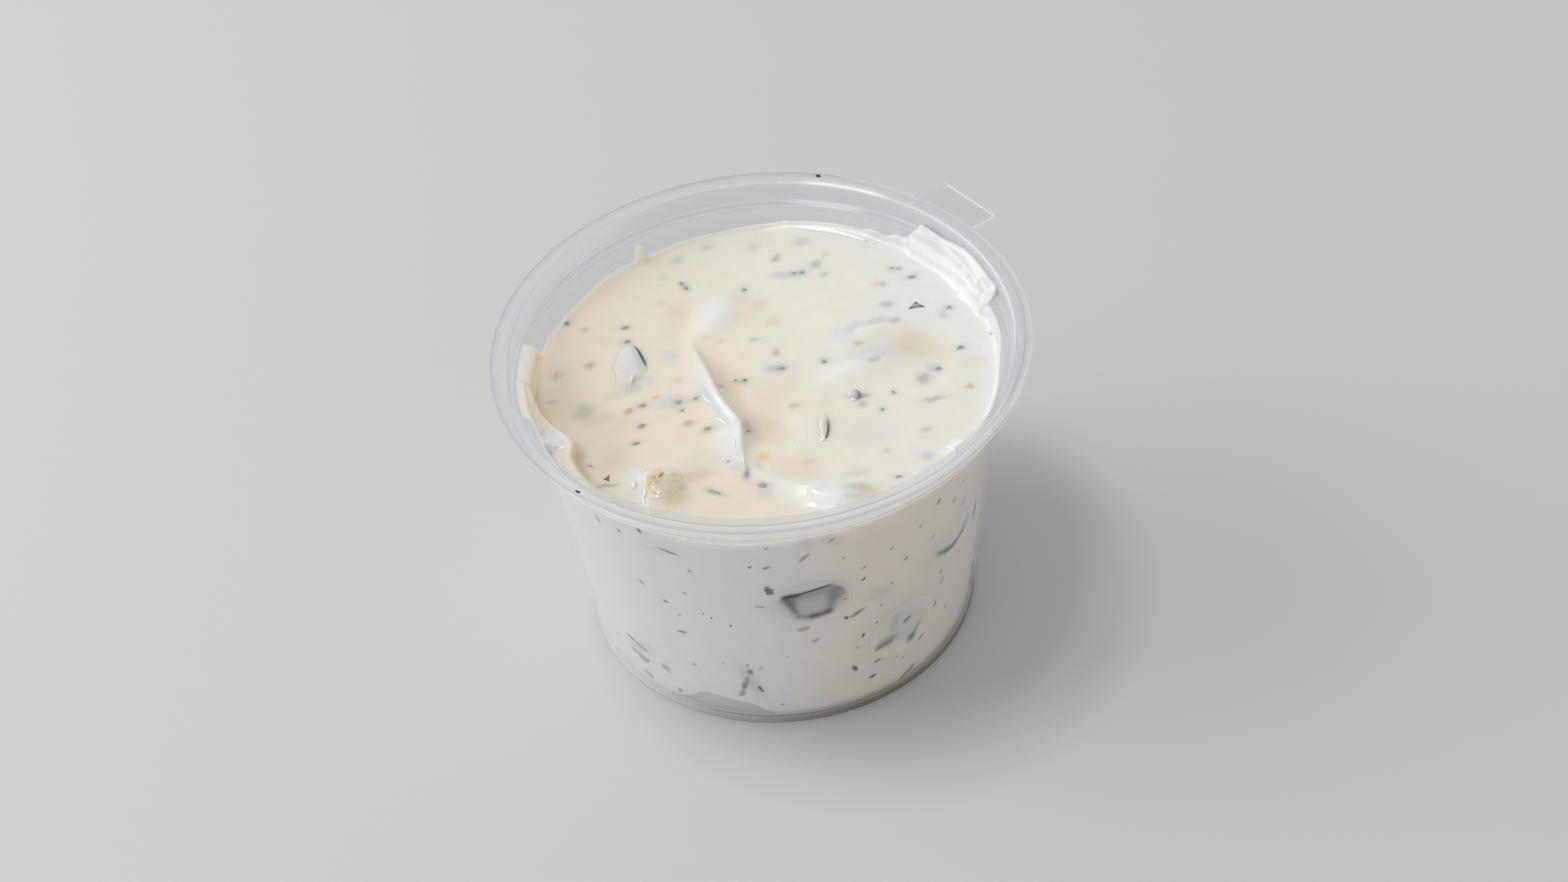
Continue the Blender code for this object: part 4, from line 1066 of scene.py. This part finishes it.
def make_core():
    """The soft core at the front left: olive pulp with two seeds in it."""
    left = [(-17.0, -14.8), (-17.5, -16.8), (-17.4, -19.0), (-16.9, -21.4)]
    right = [(-14.0, -14.7), (-12.4, -16.6), (-12.0, -19.0), (-13.4, -21.8)]
    x, y, along, across = between(left, right, 64, 64)
    ends = np.sin(math.pi * along) * np.sin(math.pi * across)
    seed = np.hypot((x + 15.5) / 0.8, (y + 17.3) / 0.8)
    second = np.hypot((x + 15.6 + 0.45 * (y + 20.0)) / 0.8, (y + 20.0) / 1.4)
    grain = soft_noise(np.stack([x, y, 0 * x], -1).reshape(-1, 3), 0.8, 5).reshape(x.shape)
    dome = 0.26 * np.clip(1.0 - seed ** 2, 0.0, 1.0) ** 0.5
    dome = dome + 0.14 * np.clip(1.0 - second ** 2, 0.0, 1.0) ** 0.5
    lift = 0.5 * ends + (dome + 0.10 * grain) * smooth(0.1, 0.5, ends) - 0.06
    points = lifted(x, y, lift)
    under = top_colour(x, y, points[..., 2])
    pulp = blend(srgb(216, 206, 172), srgb(196, 183, 138), smooth(-0.5, 0.6, grain))
    near = np.exp(-(np.hypot(x + 15.6, 0.8 * (y + 17.8)) / 2.0) ** 2)
    tone = blend(under, pulp, (0.35 + 0.5 * near) * smooth(0.02, 0.5, ends))
    ring_line = np.exp(-((seed - 0.95) / 0.2) ** 2) * smooth(-1.2, 0.3, x + 15.5 - 0.4 * (y + 17.3))
    tone = blend(tone, srgb(140, 118, 48), 0.85 * ring_line)
    tone = blend(tone, srgb(205, 195, 150), 0.6 * smooth(0.8, 0.5, seed))
    outline = np.exp(-((second - 0.95) / 0.13) ** 2) * smooth(0.9, -0.2, x + 15.6)
    tone = blend(tone, srgb(150, 134, 78), 0.55 * outline)
    build = Builder()
    build.sheet(points, tone, [0.0, 0.0, -0.5])
    return build.finish("cucumber_core_soft", CUCUMBER, "cucumber", "cucumber_core")


def flake_outline(rand, length, width, corners):
    """An irregular closed outline around the origin."""
    phase = rand.random() * math.tau
    outline = []
    for k in range(corners):
        angle = phase + math.tau * k / corners
        reach = 1.0 + 0.28 * (rand.random() * 2.0 - 1.0)
        outline.append((length * reach * math.cos(angle), width * reach * math.sin(angle)))
    return np.array(outline)


def add_flake(build, outline, place, tone, dome):
    """A small domed flake: place turns u, v, lift into points, tone turns a share into colours."""
    count = len(outline)
    middle = [build.add(place(np.zeros(1), np.zeros(1), dome), tone(0.0))]
    last = middle
    for share in (0.45, 0.78, 1.0):
        lift = dome * (1.0 - share ** 2)
        row = build.add(place(outline[:, 0] * share, outline[:, 1] * share, lift), tone(share))
        build.strip(last, ring(row, count))
        last = ring(row, count)
    row = build.add(place(outline[:, 0] * 0.7, outline[:, 1] * 0.7, -0.12), tone(1.0))
    build.strip(last, ring(row, count))
    build.strip(ring(row, count), [build.add(place(np.zeros(1), np.zeros(1), -0.16), tone(1.0))])


def make_herbs():
    """Flecks of herb that lie at the surface, each partly sunk in the dip."""
    rand = random.Random(11)
    build = Builder()
    for x, y, length, width, heading, colour in HERBS:
        spot_x, spot_y = on_surface(x, y)
        angle = math.radians(heading)

        def place(u, v, lift, spot_x=spot_x, spot_y=spot_y, angle=angle):
            at_x = spot_x + u * math.sin(angle) + v * math.cos(angle)
            at_y = spot_y + u * math.cos(angle) - v * math.sin(angle)
            return lifted(at_x, at_y, lift + 0.01)

        under = top_colour(spot_x, spot_y, dip_height(spot_x, spot_y))

        def tone(share, colour=colour, under=under):
            return blend(colour, under, 0.2 + 0.5 * share ** 2)

        add_flake(build, flake_outline(rand, 0.8 * length, width, 11), place, tone, 0.07)
    add_leaf_triangle(build)
    add_burnt_leaf(build)
    return build.finish("herb_flecks", HERB, None)


def add_leaf_triangle(build):
    """The small three-cornered leaf towards the right."""
    corners = [on_surface(22.2, 12.0), on_surface(21.0, 10.6), on_surface(23.4, 10.7)]
    add_leaf(build, corners, srgb(158, 162, 160), srgb(66, 72, 68))


def add_burnt_leaf(build):
    """The brown leaf at the foot of the ledge."""
    corners = [on_surface(-21.9, -15.1), on_surface(-22.9, -15.9), on_surface(-22.0, -16.4)]
    add_leaf(build, corners, srgb(140, 112, 56), srgb(74, 54, 24))


def add_leaf(build, corners, middle_tone, corner_tone):
    """A three-cornered leaf, darker at its corners."""
    corners = np.array(corners)
    steps = 9
    shares = []
    for i in range(steps + 1):
        for j in range(steps + 1 - i):
            shares.append((i / steps, j / steps, 1.0 - (i + j) / steps))
    shares = np.array(shares)
    spots = shares @ corners
    waist = 1.0 - 0.3 * (1.0 - shares.max(axis=1))
    centre = corners.mean(axis=0)
    spots = centre + (spots - centre) * waist[:, None]
    inside = np.clip(3.0 * shares.min(axis=1), 0.0, 1.0)
    points = lifted(spots[:, 0], spots[:, 1], 0.02 + 0.1 * np.sqrt(inside))
    tone = blend(middle_tone, corner_tone, smooth(0.55, 0.85, shares.max(axis=1)))
    tone = blend(tone, corner_tone, 0.4 * smooth(0.25, 0.0, inside))
    first = build.add(points, tone)
    low = build.add(lifted(spots[:, 0], spots[:, 1], -0.15), tone)
    number = {}
    for k, (a, b, c) in enumerate(shares):
        number[round(a * steps), round(b * steps)] = k
    for (i, j), k in number.items():
        if (i + 1, j) in number and (i, j + 1) in number:
            face = [k, number[i + 1, j], number[i, j + 1]]
            build.faces.append([first + n for n in face])
            build.faces.append([low + n for n in face[::-1]])
        if (i - 1, j) in number and (i, j - 1) in number and i and j:
            face = [k, number[i - 1, j], number[i, j - 1]]
            build.faces.append([first + n for n in face])
            build.faces.append([low + n for n in face[::-1]])
    edge = [number[i, 0] for i in range(steps)]
    edge += [number[steps - j, j] for j in range(steps)]
    edge += [number[0, steps - j] for j in range(steps)]
    build.strip([first + n for n in edge], [low + n for n in edge])


# Thin wet ridges, painted near-white as highlights where they catch the light: their line on the open
# surface, width and height.
GLINT_RIDGES = [
    ([(-8.6, -1.2), (-8.3, -2.6), (-7.4, -3.9)], 0.36, 0.16), ([(-8.9, 1.4), (-8.8, -0.6)], 0.24, 0.1),
    ([(-7.3, -6.5), (-6.4, -7.2), (-5.6, -8.4)], 0.34, 0.15), ([(-4.9, -8.0), (-4.7, -9.8)], 0.22, 0.1),
    ([(-5.1, -11.2), (-4.8, -12.6)], 0.36, 0.15), ([(-4.0, -14.0), (-3.8, -16.4)], 0.3, 0.15),
    ([(-18.0, 4.4), (-18.2, 3.2), (-18.5, 2.0)], 0.34, 0.5),
    ([(-18.8, -16.9), (-18.7, -18.4)], 0.5, 0.3),
    ([(-17.6, -17.6), (-17.3, -19.4), (-17.6, -20.8), (-17.2, -22.6)], 0.4, 0.3),
    ([(6.7, -13.5), (7.3, -13.7)], 0.4, 0.4), ([(3.0, -13.2), (3.3, -13.0)], 0.4, 0.15),
    ([(5.0, -25.8), (5.6, -26.6)], 0.26, 0.12), ([(7.8, -25.5), (8.3, -26.2)], 0.24, 0.12),
    ([(7.0, 31.2), (9.0, 30.6), (11.2, 29.8), (13.5, 28.6), (15.3, 27.4), (16.8, 26.2)], 0.72, 0.22),
    ([(11.4, -5.8), (11.7, -6.4), (12.3, -6.6)], 0.28, 0.4),
    ([(-29.6, -8.2), (-28.9, -8.9)], 0.4, 0.2), ([(-25.2, -17.0), (-24.6, -17.6)], 0.4, 0.2),
    ([(23.2, -17.6), (24.2, -18.4), (24.4, -19.2)], 0.5, 0.25),
]


def make_glint_ridges():
    """Thin raised strands of wet dip along the folds and round the cucumber, painted near-white as
    highlights.
    """
    build = Builder()
    around = np.linspace(0.0, math.pi, 7)
    for line, width, height in GLINT_RIDGES:
        path = np.array([on_surface(x, y) for x, y in spline(line, 16)])
        ahead = np.gradient(path, axis=0)
        ahead /= np.linalg.norm(ahead, axis=1)[:, None]
        side = np.stack([ahead[:, 1], -ahead[:, 0]], -1)
        taper = np.sin(math.pi * np.linspace(0.03, 0.97, len(path))) ** 0.6
        last = None
        for spot, way, share in zip(path, side, taper):
            reach = 0.5 * width * share * np.cos(around)
            lift = height * share * np.sin(around)
            x = np.append(spot[0] + way[0] * reach, spot[0])
            y = np.append(spot[1] + way[1] * reach, spot[1])
            points = lifted(x, y, np.append(lift - 0.03, -0.12))
            # near-white paint stands in for the glints on these ridges
            row = ring(build.add(points, srgb(250, 250, 250)), len(points))
            if last is None:
                first = row
            else:
                build.strip(last, row)
            last = row
        build.faces.append(first[::-1])
        build.faces.append(list(last))
    return build.finish("glint_ridges", CUCUMBER, None)


def make_bead():
    """The small lavender-grey bead, half sunk, with its brownish right side."""
    build = Builder()
    x, y = on_surface(12.0, -5.6)
    z = dip_height(x, y) + 0.22
    radius = 0.82
    count = 28
    last = [build.add([[x, y, z + radius * 0.8]], srgb(204, 200, 212))]
    angles = np.arange(count) * 360.0 / count
    for k in range(1, 16):
        tilt = math.pi * k / 16
        spot = polar(radius * math.sin(tilt), angles, radius * math.cos(tilt) * 0.8)
        spot[:, 0] *= 1.08
        side = smooth(0.1, 0.9, spot[:, 0] / radius)
        tone = blend(srgb(204, 201, 213), srgb(160, 136, 136), side)
        row = ring(build.add(spot + [x, y, z], tone), count)
        build.strip(last, row)
        last = row
    build.strip(last, [build.add([[x, y, z - radius * 0.8]], srgb(190, 186, 196))])
    return build.finish("pale_bead", CUCUMBER, None)


# ---- what shows through the wall -------------------------------------------------------------------
def wall_points(azimuth, z, lift):
    """Points just inside the plastic, lift millimetres further out than the dip."""
    return polar(inside_radius(z) + SUNK + lift, azimuth, z)


def stroke(azimuth, z, line, width, middle_azimuth):
    """1 on a line drawn in azimuth and height, falling away over width millimetres."""
    scale = math.radians(outer_wall(line[0][1]))
    flat = spline([((middle_azimuth - a) * scale, h) for a, h in line], 24)
    share, offset = beside(flat, (middle_azimuth - azimuth) * scale, z)
    return np.exp(-(offset / width) ** 2)


# Cucumber against the wall: middle azimuth and height, half width and height, soft blotches as
# (azimuth, height, length, width, heading, colour, strength) and strokes as (line, width,
# colour, strength).
WALL_CUCUMBER = {
    "cucumber_wall_front": (173.4, 25.8, 5.6, 4.6, [
        (173.0, 25.6, 3.2, 2.0, 90, SMOKE, 0.42), (167.1, 27.1, 1.4, 1.4, 120, SMOKE, 0.6),
        (166.7, 27.9, 0.9, 0.7, 120, COAL, 0.22), (179.0, 26.8, 1.2, 0.8, 150, COAL, 0.5),
        (173.6, 25.5, 1.8, 1.0, 90, srgb(196, 196, 190), 0.5)], [
        ([(180.6, 27.5), (177.5, 27.7), (173.0, 28.1), (167.1, 28.4)], 0.8, SMOKE, 0.6),
        ([(181.0, 28.1), (177.5, 28.3), (173.0, 28.8), (167.3, 29.3)], 0.24, INK, 1.0),
        ([(180.6, 28.0), (179.0, 28.1), (177.3, 28.2)], 0.45, INK, 0.8),
        ([(179.8, 27.6), (179.0, 26.2), (177.9, 24.6)], 0.55, COAL, 0.62),
        ([(167.5, 27.1), (168.5, 25.3), (169.3, 23.6)], 0.7, SMOKE, 0.62),
        ([(169.3, 23.6), (171.3, 23.3), (173.4, 23.2)], 0.6, INK, 0.78),
        ([(173.4, 23.2), (175.6, 23.2), (177.1, 23.5)], 0.66, COAL, 0.55)]),
    "cucumber_wall_right": (146.8, 12.9, 5.8, 5.6, [
        (146.2, 13.2, 3.2, 2.9, 70, srgb(190, 196, 192), 0.6),
        (149.5, 16.1, 1.4, 1.0, 0, srgb(186, 196, 192), 0.5),
        (143.8, 9.8, 0.8, 0.7, 0, srgb(52, 70, 56), 0.7)], [
        ([(155.6, 11.2), (153.9, 11.5), (151.6, 11.6)], 0.6, srgb(56, 76, 56), 0.7),
        ([(154.4, 12.2), (152.5, 12.4), (150.2, 12.2)], 0.6, srgb(110, 128, 110), 0.5),
        ([(144.0, 9.6), (142.5, 10.7), (141.0, 11.8)], 0.4, srgb(100, 116, 102), 0.55),
        ([(150.8, 13.9), (150.2, 15.3), (149.4, 16.6)], 0.5, srgb(160, 170, 162), 0.4),
        ([(146.6, 14.3), (145.1, 14.7)], 0.3, srgb(50, 62, 54), 0.85)]),
    "cucumber_wall_high": (127.4, 23.8, 6.0, 3.2, [
        (128.1, 24.5, 4.2, 1.4, 88, srgb(206, 208, 198), 0.5)], [
        ([(137.0, 24.7), (134.8, 24.1), (132.6, 23.6)], 0.5, srgb(150, 152, 142), 0.5),
        ([(134.6, 23.9), (130.6, 23.1), (126.7, 23.1), (124.1, 23.6)], 0.55, srgb(100, 98, 60), 0.75),
        ([(132.6, 23.2), (129.8, 22.7), (127.4, 22.8)], 0.32, srgb(70, 72, 44), 0.65),
        ([(124.4, 23.5), (122.9, 24.5), (121.8, 25.5)], 0.3, srgb(112, 118, 100), 0.6)]),
}


def make_wall_cucumber(node, parts):
    """A piece of cucumber pressed against the wall, fading into the dip round it."""
    middle, height, half_width, half_height, blotches, strokes = parts
    unit_x, unit_y, quads, outer = disk_grid(96)
    scale = math.radians(outer_wall(height))
    reach = np.hypot(unit_x, unit_y)
    azimuth = middle - unit_x * half_width / scale
    z = height + unit_y * half_height
    tone = side_colour(azimuth, z)
    for spot_az, spot_z, length, width, heading, colour, strength in blotches:
        spot = soft_spot((spot_az - azimuth) * scale, z, 0.0, spot_z, length, width, heading)
        tone = blend(tone, colour, strength * np.clip(1.6 * spot, 0.0, 1.0))
    for line, width, colour, strength in strokes:
        tone = blend(tone, colour, strength * stroke(azimuth, z, line, width, middle))
    tone = blend(tone, side_colour(azimuth, z), smooth(0.82, 0.98, reach))
    build = Builder()
    build.add(wall_points(azimuth, z, 0.09 * (1.0 - reach ** 4) + 0.005), tone)
    build.faces.extend(quads)
    count = len(outer)
    low = build.add(polar(inside_radius(z[outer]) - 0.5, azimuth[outer], z[outer]), tone[outer])
    build.strip(outer, ring(low, count))
    back = build.add(polar(inside_radius(height) - 0.9, np.array([middle]), height), CREAM)
    build.strip(ring(low, count), [back])
    return build.finish(node + "_soft", PRESSED, "cucumber", node)


# Flecks against the wall: azimuth and height of both ends, width and colour.
WALL_FLECKS = [
    (185.0, 34.5, 182.9, 34.9, 0.34, SLATE), (184.6, 30.6, 183.3, 28.6, 1.15, COAL),
    (165.1, 20.8, 164.3, 21.1, 0.7, INK), (163.6, 20.7, 159.6, 21.8, 0.6, LEAF),
    (166.0, 25.2, 164.2, 25.3, 0.45, SLATE), (187.0, 26.3, 185.4, 26.1, 0.3, GREY),
    (165.5, 34.0, 165.0, 34.1, 0.22, SLATE), (160.5, 27.9, 159.3, 28.4, 0.34, INK),
    (151.7, 24.5, 151.2, 24.6, 0.32, INK), (156.4, 17.2, 155.4, 17.4, 0.32, SLATE),
    (160.3, 15.4, 159.4, 16.1, 0.5, INK), (162.0, 13.3, 161.3, 13.5, 0.36, GREY),
    (156.5, 8.3, 154.1, 8.7, 0.42, INK), (162.9, 9.5, 161.7, 8.0, 0.6, INK),
    (157.9, 5.2, 155.8, 5.5, 0.62, INK), (146.4, 1.4, 140.7, 2.7, 0.7, LEAF),
    (135.4, 12.5, 133.7, 13.3, 0.4, LEAF), (129.5, 9.4, 127.9, 9.9, 0.4, SLATE),
    (140.4, 7.5, 138.7, 8.4, 0.5, SLATE), (148.9, 7.0, 148.4, 7.2, 0.36, SLATE),
    (137.8, 35.3, 136.8, 36.3, 0.5, SLATE), (116.5, 22.2, 115.5, 24.8, 0.85, INK),
    (138.7, 28.5, 137.8, 29.4, 0.36, GREY), (148.1, 28.0, 146.7, 28.5, 0.44, SLATE),
    (133.9, 19.0, 132.7, 19.5, 0.34, SLATE), (126.9, 29.7, 124.7, 30.3, 0.3, GREY),
    (146.8, 39.4, 146.3, 39.4, 0.24, LEAF), (192.6, 12.7, 191.9, 12.9, 0.36, INK),
    (192.2, 11.8, 191.6, 10.6, 0.8, SLATE), (192.5, 10.1, 193.3, 8.8, 0.6, GREY),
    (193.3, 9.1, 194.6, 6.9, 0.85, SLATE), (194.4, 7.1, 195.8, 5.1, 0.9, GREY),
    (190.0, 8.0, 189.6, 7.2, 0.5, INK), (189.6, 7.2, 188.9, 6.6, 0.4, INK),
    (189.2, 12.1, 188.0, 12.3, 0.26, GREY), (219.7, 7.9, 217.2, 7.2, 0.34, GREY),
    (216.3, 3.0, 215.0, 2.7, 0.8, GREY), (233.5, 10.0, 229.2, 9.3, 0.42, COAL),
    (229.8, 9.4, 224.9, 8.8, 0.54, GREY), (233.1, 6.9, 229.4, 6.5, 0.6, SLATE),
    (230.6, 6.5, 225.8, 5.9, 1.35, GREY), (229.7, 3.2, 226.1, 2.4, 0.75, GREY),
    (220.8, 7.3, 217.6, 6.4, 0.60, GREY),
    (213.0, 24.4, 211.7, 24.0, 0.36, INK), (211.2, 18.0, 208.4, 18.1, 0.42, SLATE),
    (209.4, 22.1, 208.8, 21.9, 0.3, GREY), (211.0, 36.4, 205.2, 35.8, 0.34, SLATE),
    (215.4, 39.3, 214.4, 38.3, 0.4, INK), (222.2, 36.9, 221.2, 36.3, 0.3, LEAF),
    (229.4, 37.0, 228.2, 35.9, 0.34, SLATE), (175.4, 36.0, 174.6, 36.4, 0.3, SLATE),
    (188.4, 34.8, 187.4, 35.1, 0.42, SLATE), (184.2, 38.6, 183.0, 39.0, 0.3, GREY),
    (160.4, 30.4, 159.2, 30.8, 0.26, SLATE), (174.5, 17.4, 172.0, 17.7, 0.55, GREY),
    (160.3, 15.8, 159.6, 15.9, 0.3, INK), (184.6, 3.4, 183.2, 3.6, 0.24, LEAF),
    (200.2, 22.8, 199.6, 23.1, 0.3, INK), (202.2, 23.7, 201.7, 23.6, 0.26, INK),
    (195.4, 21.9, 194.7, 21.6, 0.34, INK), (210.1, 18.1, 209.9, 18.0, 0.2, LEAF),
    (188.2, 26.4, 186.2, 26.2, 0.24, SLATE), (169.0, 38.2, 167.2, 38.8, 0.3, GREY),
    (152.6, 31.8, 151.4, 32.3, 0.34, GREY), (134.8, 13.0, 134.2, 13.6, 0.3, LEAF),
    (176.4, 35.1, 173.7, 36.6, 0.6, GREY), (127.2, 34.6, 126.4, 35.2, 0.24, GREY),
    (133.0, 16.6, 131.8, 17.6, 0.34, SLATE), (155.0, 20.6, 154.0, 20.9, 0.3, SLATE),
    (147.0, 5.9, 146.2, 6.3, 0.3, GREY), (177.6, 20.3, 174.4, 20.8, 0.7, GREY),
    (206.4, 27.6, 205.6, 27.3, 0.3, SLATE), (219.4, 27.0, 218.2, 26.2, 0.36, SLATE),
    (199.4, 12.6, 198.9, 12.4, 0.26, GREY), (208.8, 11.0, 207.6, 10.6, 0.3, GREY),
    (131.2, 32.4, 130.0, 33.4, 0.3, SLATE), (143.6, 33.0, 142.8, 33.6, 0.28, GREY),
    (203.6, 33.0, 202.6, 32.6, 0.3, SLATE), (181.4, 14.6, 180.6, 14.8, 0.24, GREY),
]


def make_wall_flecks():
    """Herb flecks pressed against the inside of the wall."""
    rand = random.Random(23)
    build = Builder()
    spots = list(WALL_FLECKS)
    for _ in range(70):
        azimuth = rand.uniform(0.0, 360.0)
        z = rand.uniform(3.0, 38.0)
        if 112.0 < azimuth < 238.0:
            continue
        size = rand.uniform(0.5, 3.2)
        tilt = rand.uniform(-0.6, 0.6)
        spots.append((azimuth, z, azimuth - size, z + tilt, rand.uniform(0.25, 0.6),
                      rand.choice([SLATE, SLATE, LEAF, INK, GREY])))
    for start_az, start_z, end_az, end_z, width, colour in spots:
        middle_az = 0.5 * (start_az + end_az)
        middle_z = 0.5 * (start_z + end_z)
        scale = math.radians(outer_wall(middle_z))
        run_u = (start_az - end_az) * scale
        run_v = end_z - start_z
        length = math.hypot(run_u, run_v)
        cosine, sine = run_u / length, run_v / length

        def place(u, v, lift, middle_az=middle_az, middle_z=middle_z, scale=scale,
                  cosine=cosine, sine=sine):
            across = u * cosine - v * sine
            up = u * sine + v * cosine
            return wall_points(middle_az - across / scale, middle_z + up, lift + 0.03)

        under = side_colour(np.array([middle_az]), np.array([middle_z]))[0]

        def tone(share, colour=colour, under=under):
            return blend(colour * 0.72, under, 0.1 + 0.55 * share ** 3)

        half = max(0.5 * length, 0.5 * width)
        add_flake(build, flake_outline(rand, half, 0.55 * width, 13), place, tone, 0.07)
    return build.finish("wall_flecks", PRESSED, None)


def make_rim_specks():
    """Two tiny specks on the rim: one magenta at the back, one black at the front left."""
    build = Builder()
    rand = random.Random(5)
    for azimuth, radius, z, length, width, colour in (
            (17.0, 36.45, 46.76, 0.42, 0.3, srgb(98, 18, 66)),
            (224.2, 36.5, 46.76, 0.42, 0.22, srgb(22, 14, 24))):
        def place(u, v, lift, azimuth=azimuth, radius=radius, z=z):
            turn = (u / radius) * 180.0 / math.pi
            return polar(radius + v, azimuth + turn, z + lift * 0.8)

        add_flake(build, flake_outline(rand, length, width, 11), place,
                  lambda share, colour=colour: colour, 0.07)
    return build.finish("rim_specks", HERB, None)


# ---- light, floor and camera -------------------------------------------------------------------
def add_area(name, direction, distance, width, height, power, colour):
    """A soft rectangular light that shines at the cup from a direction."""
    light = bpy.data.lights.new(name, "AREA")
    light.shape = "RECTANGLE"
    light.size = width
    light.size_y = height
    light.energy = power
    light.color = colour
    obj = bpy.data.objects.new(name, light)
    way = Vector(direction).normalized()
    obj.location = Vector((0.0, 0.0, 0.03)) + way * distance
    obj.rotation_euler = way.to_track_quat("Z", "Y").to_euler()
    bpy.context.scene.collection.objects.link(obj)
    return obj


def set_light():
    """Even light that is brighter from the sides, and a large soft source low at the left."""
    world = bpy.data.worlds.new("studio")
    bpy.context.scene.world = world
    world.use_nodes = True
    nodes = world.node_tree.nodes
    links = world.node_tree.links
    back = nodes["Background"]
    back.inputs["Color"].default_value = (0.98, 0.99, 1.0, 1.0)
    place = nodes.new("ShaderNodeTexCoord")
    split = nodes.new("ShaderNodeSeparateXYZ")
    links.new(place.outputs["Generated"], split.inputs[0])
    fall = nodes.new("ShaderNodeMapRange")
    fall.inputs["From Max"].default_value = 0.7
    fall.inputs["To Min"].default_value = SKY_LOW
    fall.inputs["To Max"].default_value = SKY_HIGH
    links.new(split.outputs["Z"], fall.inputs["Value"])
    links.new(fall.outputs["Result"], back.inputs["Strength"])
    add_area("key", (-0.9, 0.15, 0.5), 0.9, 0.7, 0.7, KEY_POWER, (1.0, 0.985, 0.96))
    add_area("top", (-0.25, 0.04, 0.97), 0.8, 0.16, 0.10, TOP_POWER, (1.0, 1.0, 1.0))
    scene = bpy.context.scene
    scene.view_settings.view_transform = "Standard"
    scene.view_settings.look = "None"


SKY_LOW = 1.33
SKY_HIGH = 0.41
KEY_POWER = 4.0
TOP_POWER = 1.6


def make_floor():
    """A plain pale floor."""
    size = 3.0
    mesh = bpy.data.meshes.new("floor")
    corners = [(-size, -size, 0.0), (size, -size, 0.0), (size, size, 0.0), (-size, size, 0.0)]
    mesh.from_pydata(corners, [], [(0, 1, 2, 3)])
    material, nodes, links, shader = new_material("floor_look")
    shader.inputs["Base Color"].default_value = (0.60, 0.60, 0.605, 1.0)
    shader.inputs["Roughness"].default_value = 0.55
    shader.inputs["Specular IOR Level"].default_value = 0.25
    mesh.materials.append(material)
    floor = bpy.data.objects.new("floor", mesh)
    bpy.context.scene.collection.objects.link(floor)


CAMERA_TARGET = Vector((0.0, 0.0, 0.0222))
CAMERA_DISTANCE = 0.41691
CAMERA_ELEVATION = 43.580
CAMERA_YAW = 0.264
CAMERA_PITCH = 0.551
CAMERA_ROLL = -5.624
CAMERA_LENS = 67.51
CAMERA_SENSOR = 36.0


def set_camera():
    """The camera, at the photograph's viewing angle."""
    camera = bpy.data.cameras.new("camera")
    camera.sensor_width = CAMERA_SENSOR
    camera.lens = CAMERA_LENS
    camera.clip_start = 0.01
    camera.clip_end = 20.0
    elevation = math.radians(CAMERA_ELEVATION)
    back = Vector((0.0, -math.cos(elevation), math.sin(elevation)))
    right = Vector((1.0, 0.0, 0.0))
    forward = -back
    up = right.cross(forward)
    pitch = math.radians(CAMERA_PITCH)
    yaw = math.radians(CAMERA_YAW)
    roll = math.radians(CAMERA_ROLL)
    up_tilted = math.cos(pitch) * up - math.sin(pitch) * forward
    forward_tilted = math.sin(pitch) * up + math.cos(pitch) * forward
    right_turned = math.cos(yaw) * right - math.sin(yaw) * forward_tilted
    forward_turned = math.sin(yaw) * right + math.cos(yaw) * forward_tilted
    x_axis = math.cos(roll) * right_turned + math.sin(roll) * up_tilted
    y_axis = -math.sin(roll) * right_turned + math.cos(roll) * up_tilted
    z_axis = -forward_turned
    turn = Matrix((x_axis, y_axis, z_axis)).transposed().to_4x4()
    obj = bpy.data.objects.new("camera", camera)
    obj.matrix_world = Matrix.Translation(CAMERA_TARGET + back * CAMERA_DISTANCE) @ turn
    bpy.context.scene.collection.objects.link(obj)
    bpy.context.scene.camera = obj


# ---- the whole scene ---------------------------------------------------------------------------
set_camera()
set_light()
make_floor()
make_cup()
make_stub()
make_dip()
make_left_slice()
make_sliver()
make_core()
make_herbs()
make_glint_ridges()
make_bead()
for wall_node, wall_parts in WALL_CUCUMBER.items():
    make_wall_cucumber(wall_node, wall_parts)
make_wall_flecks()
make_rim_specks()
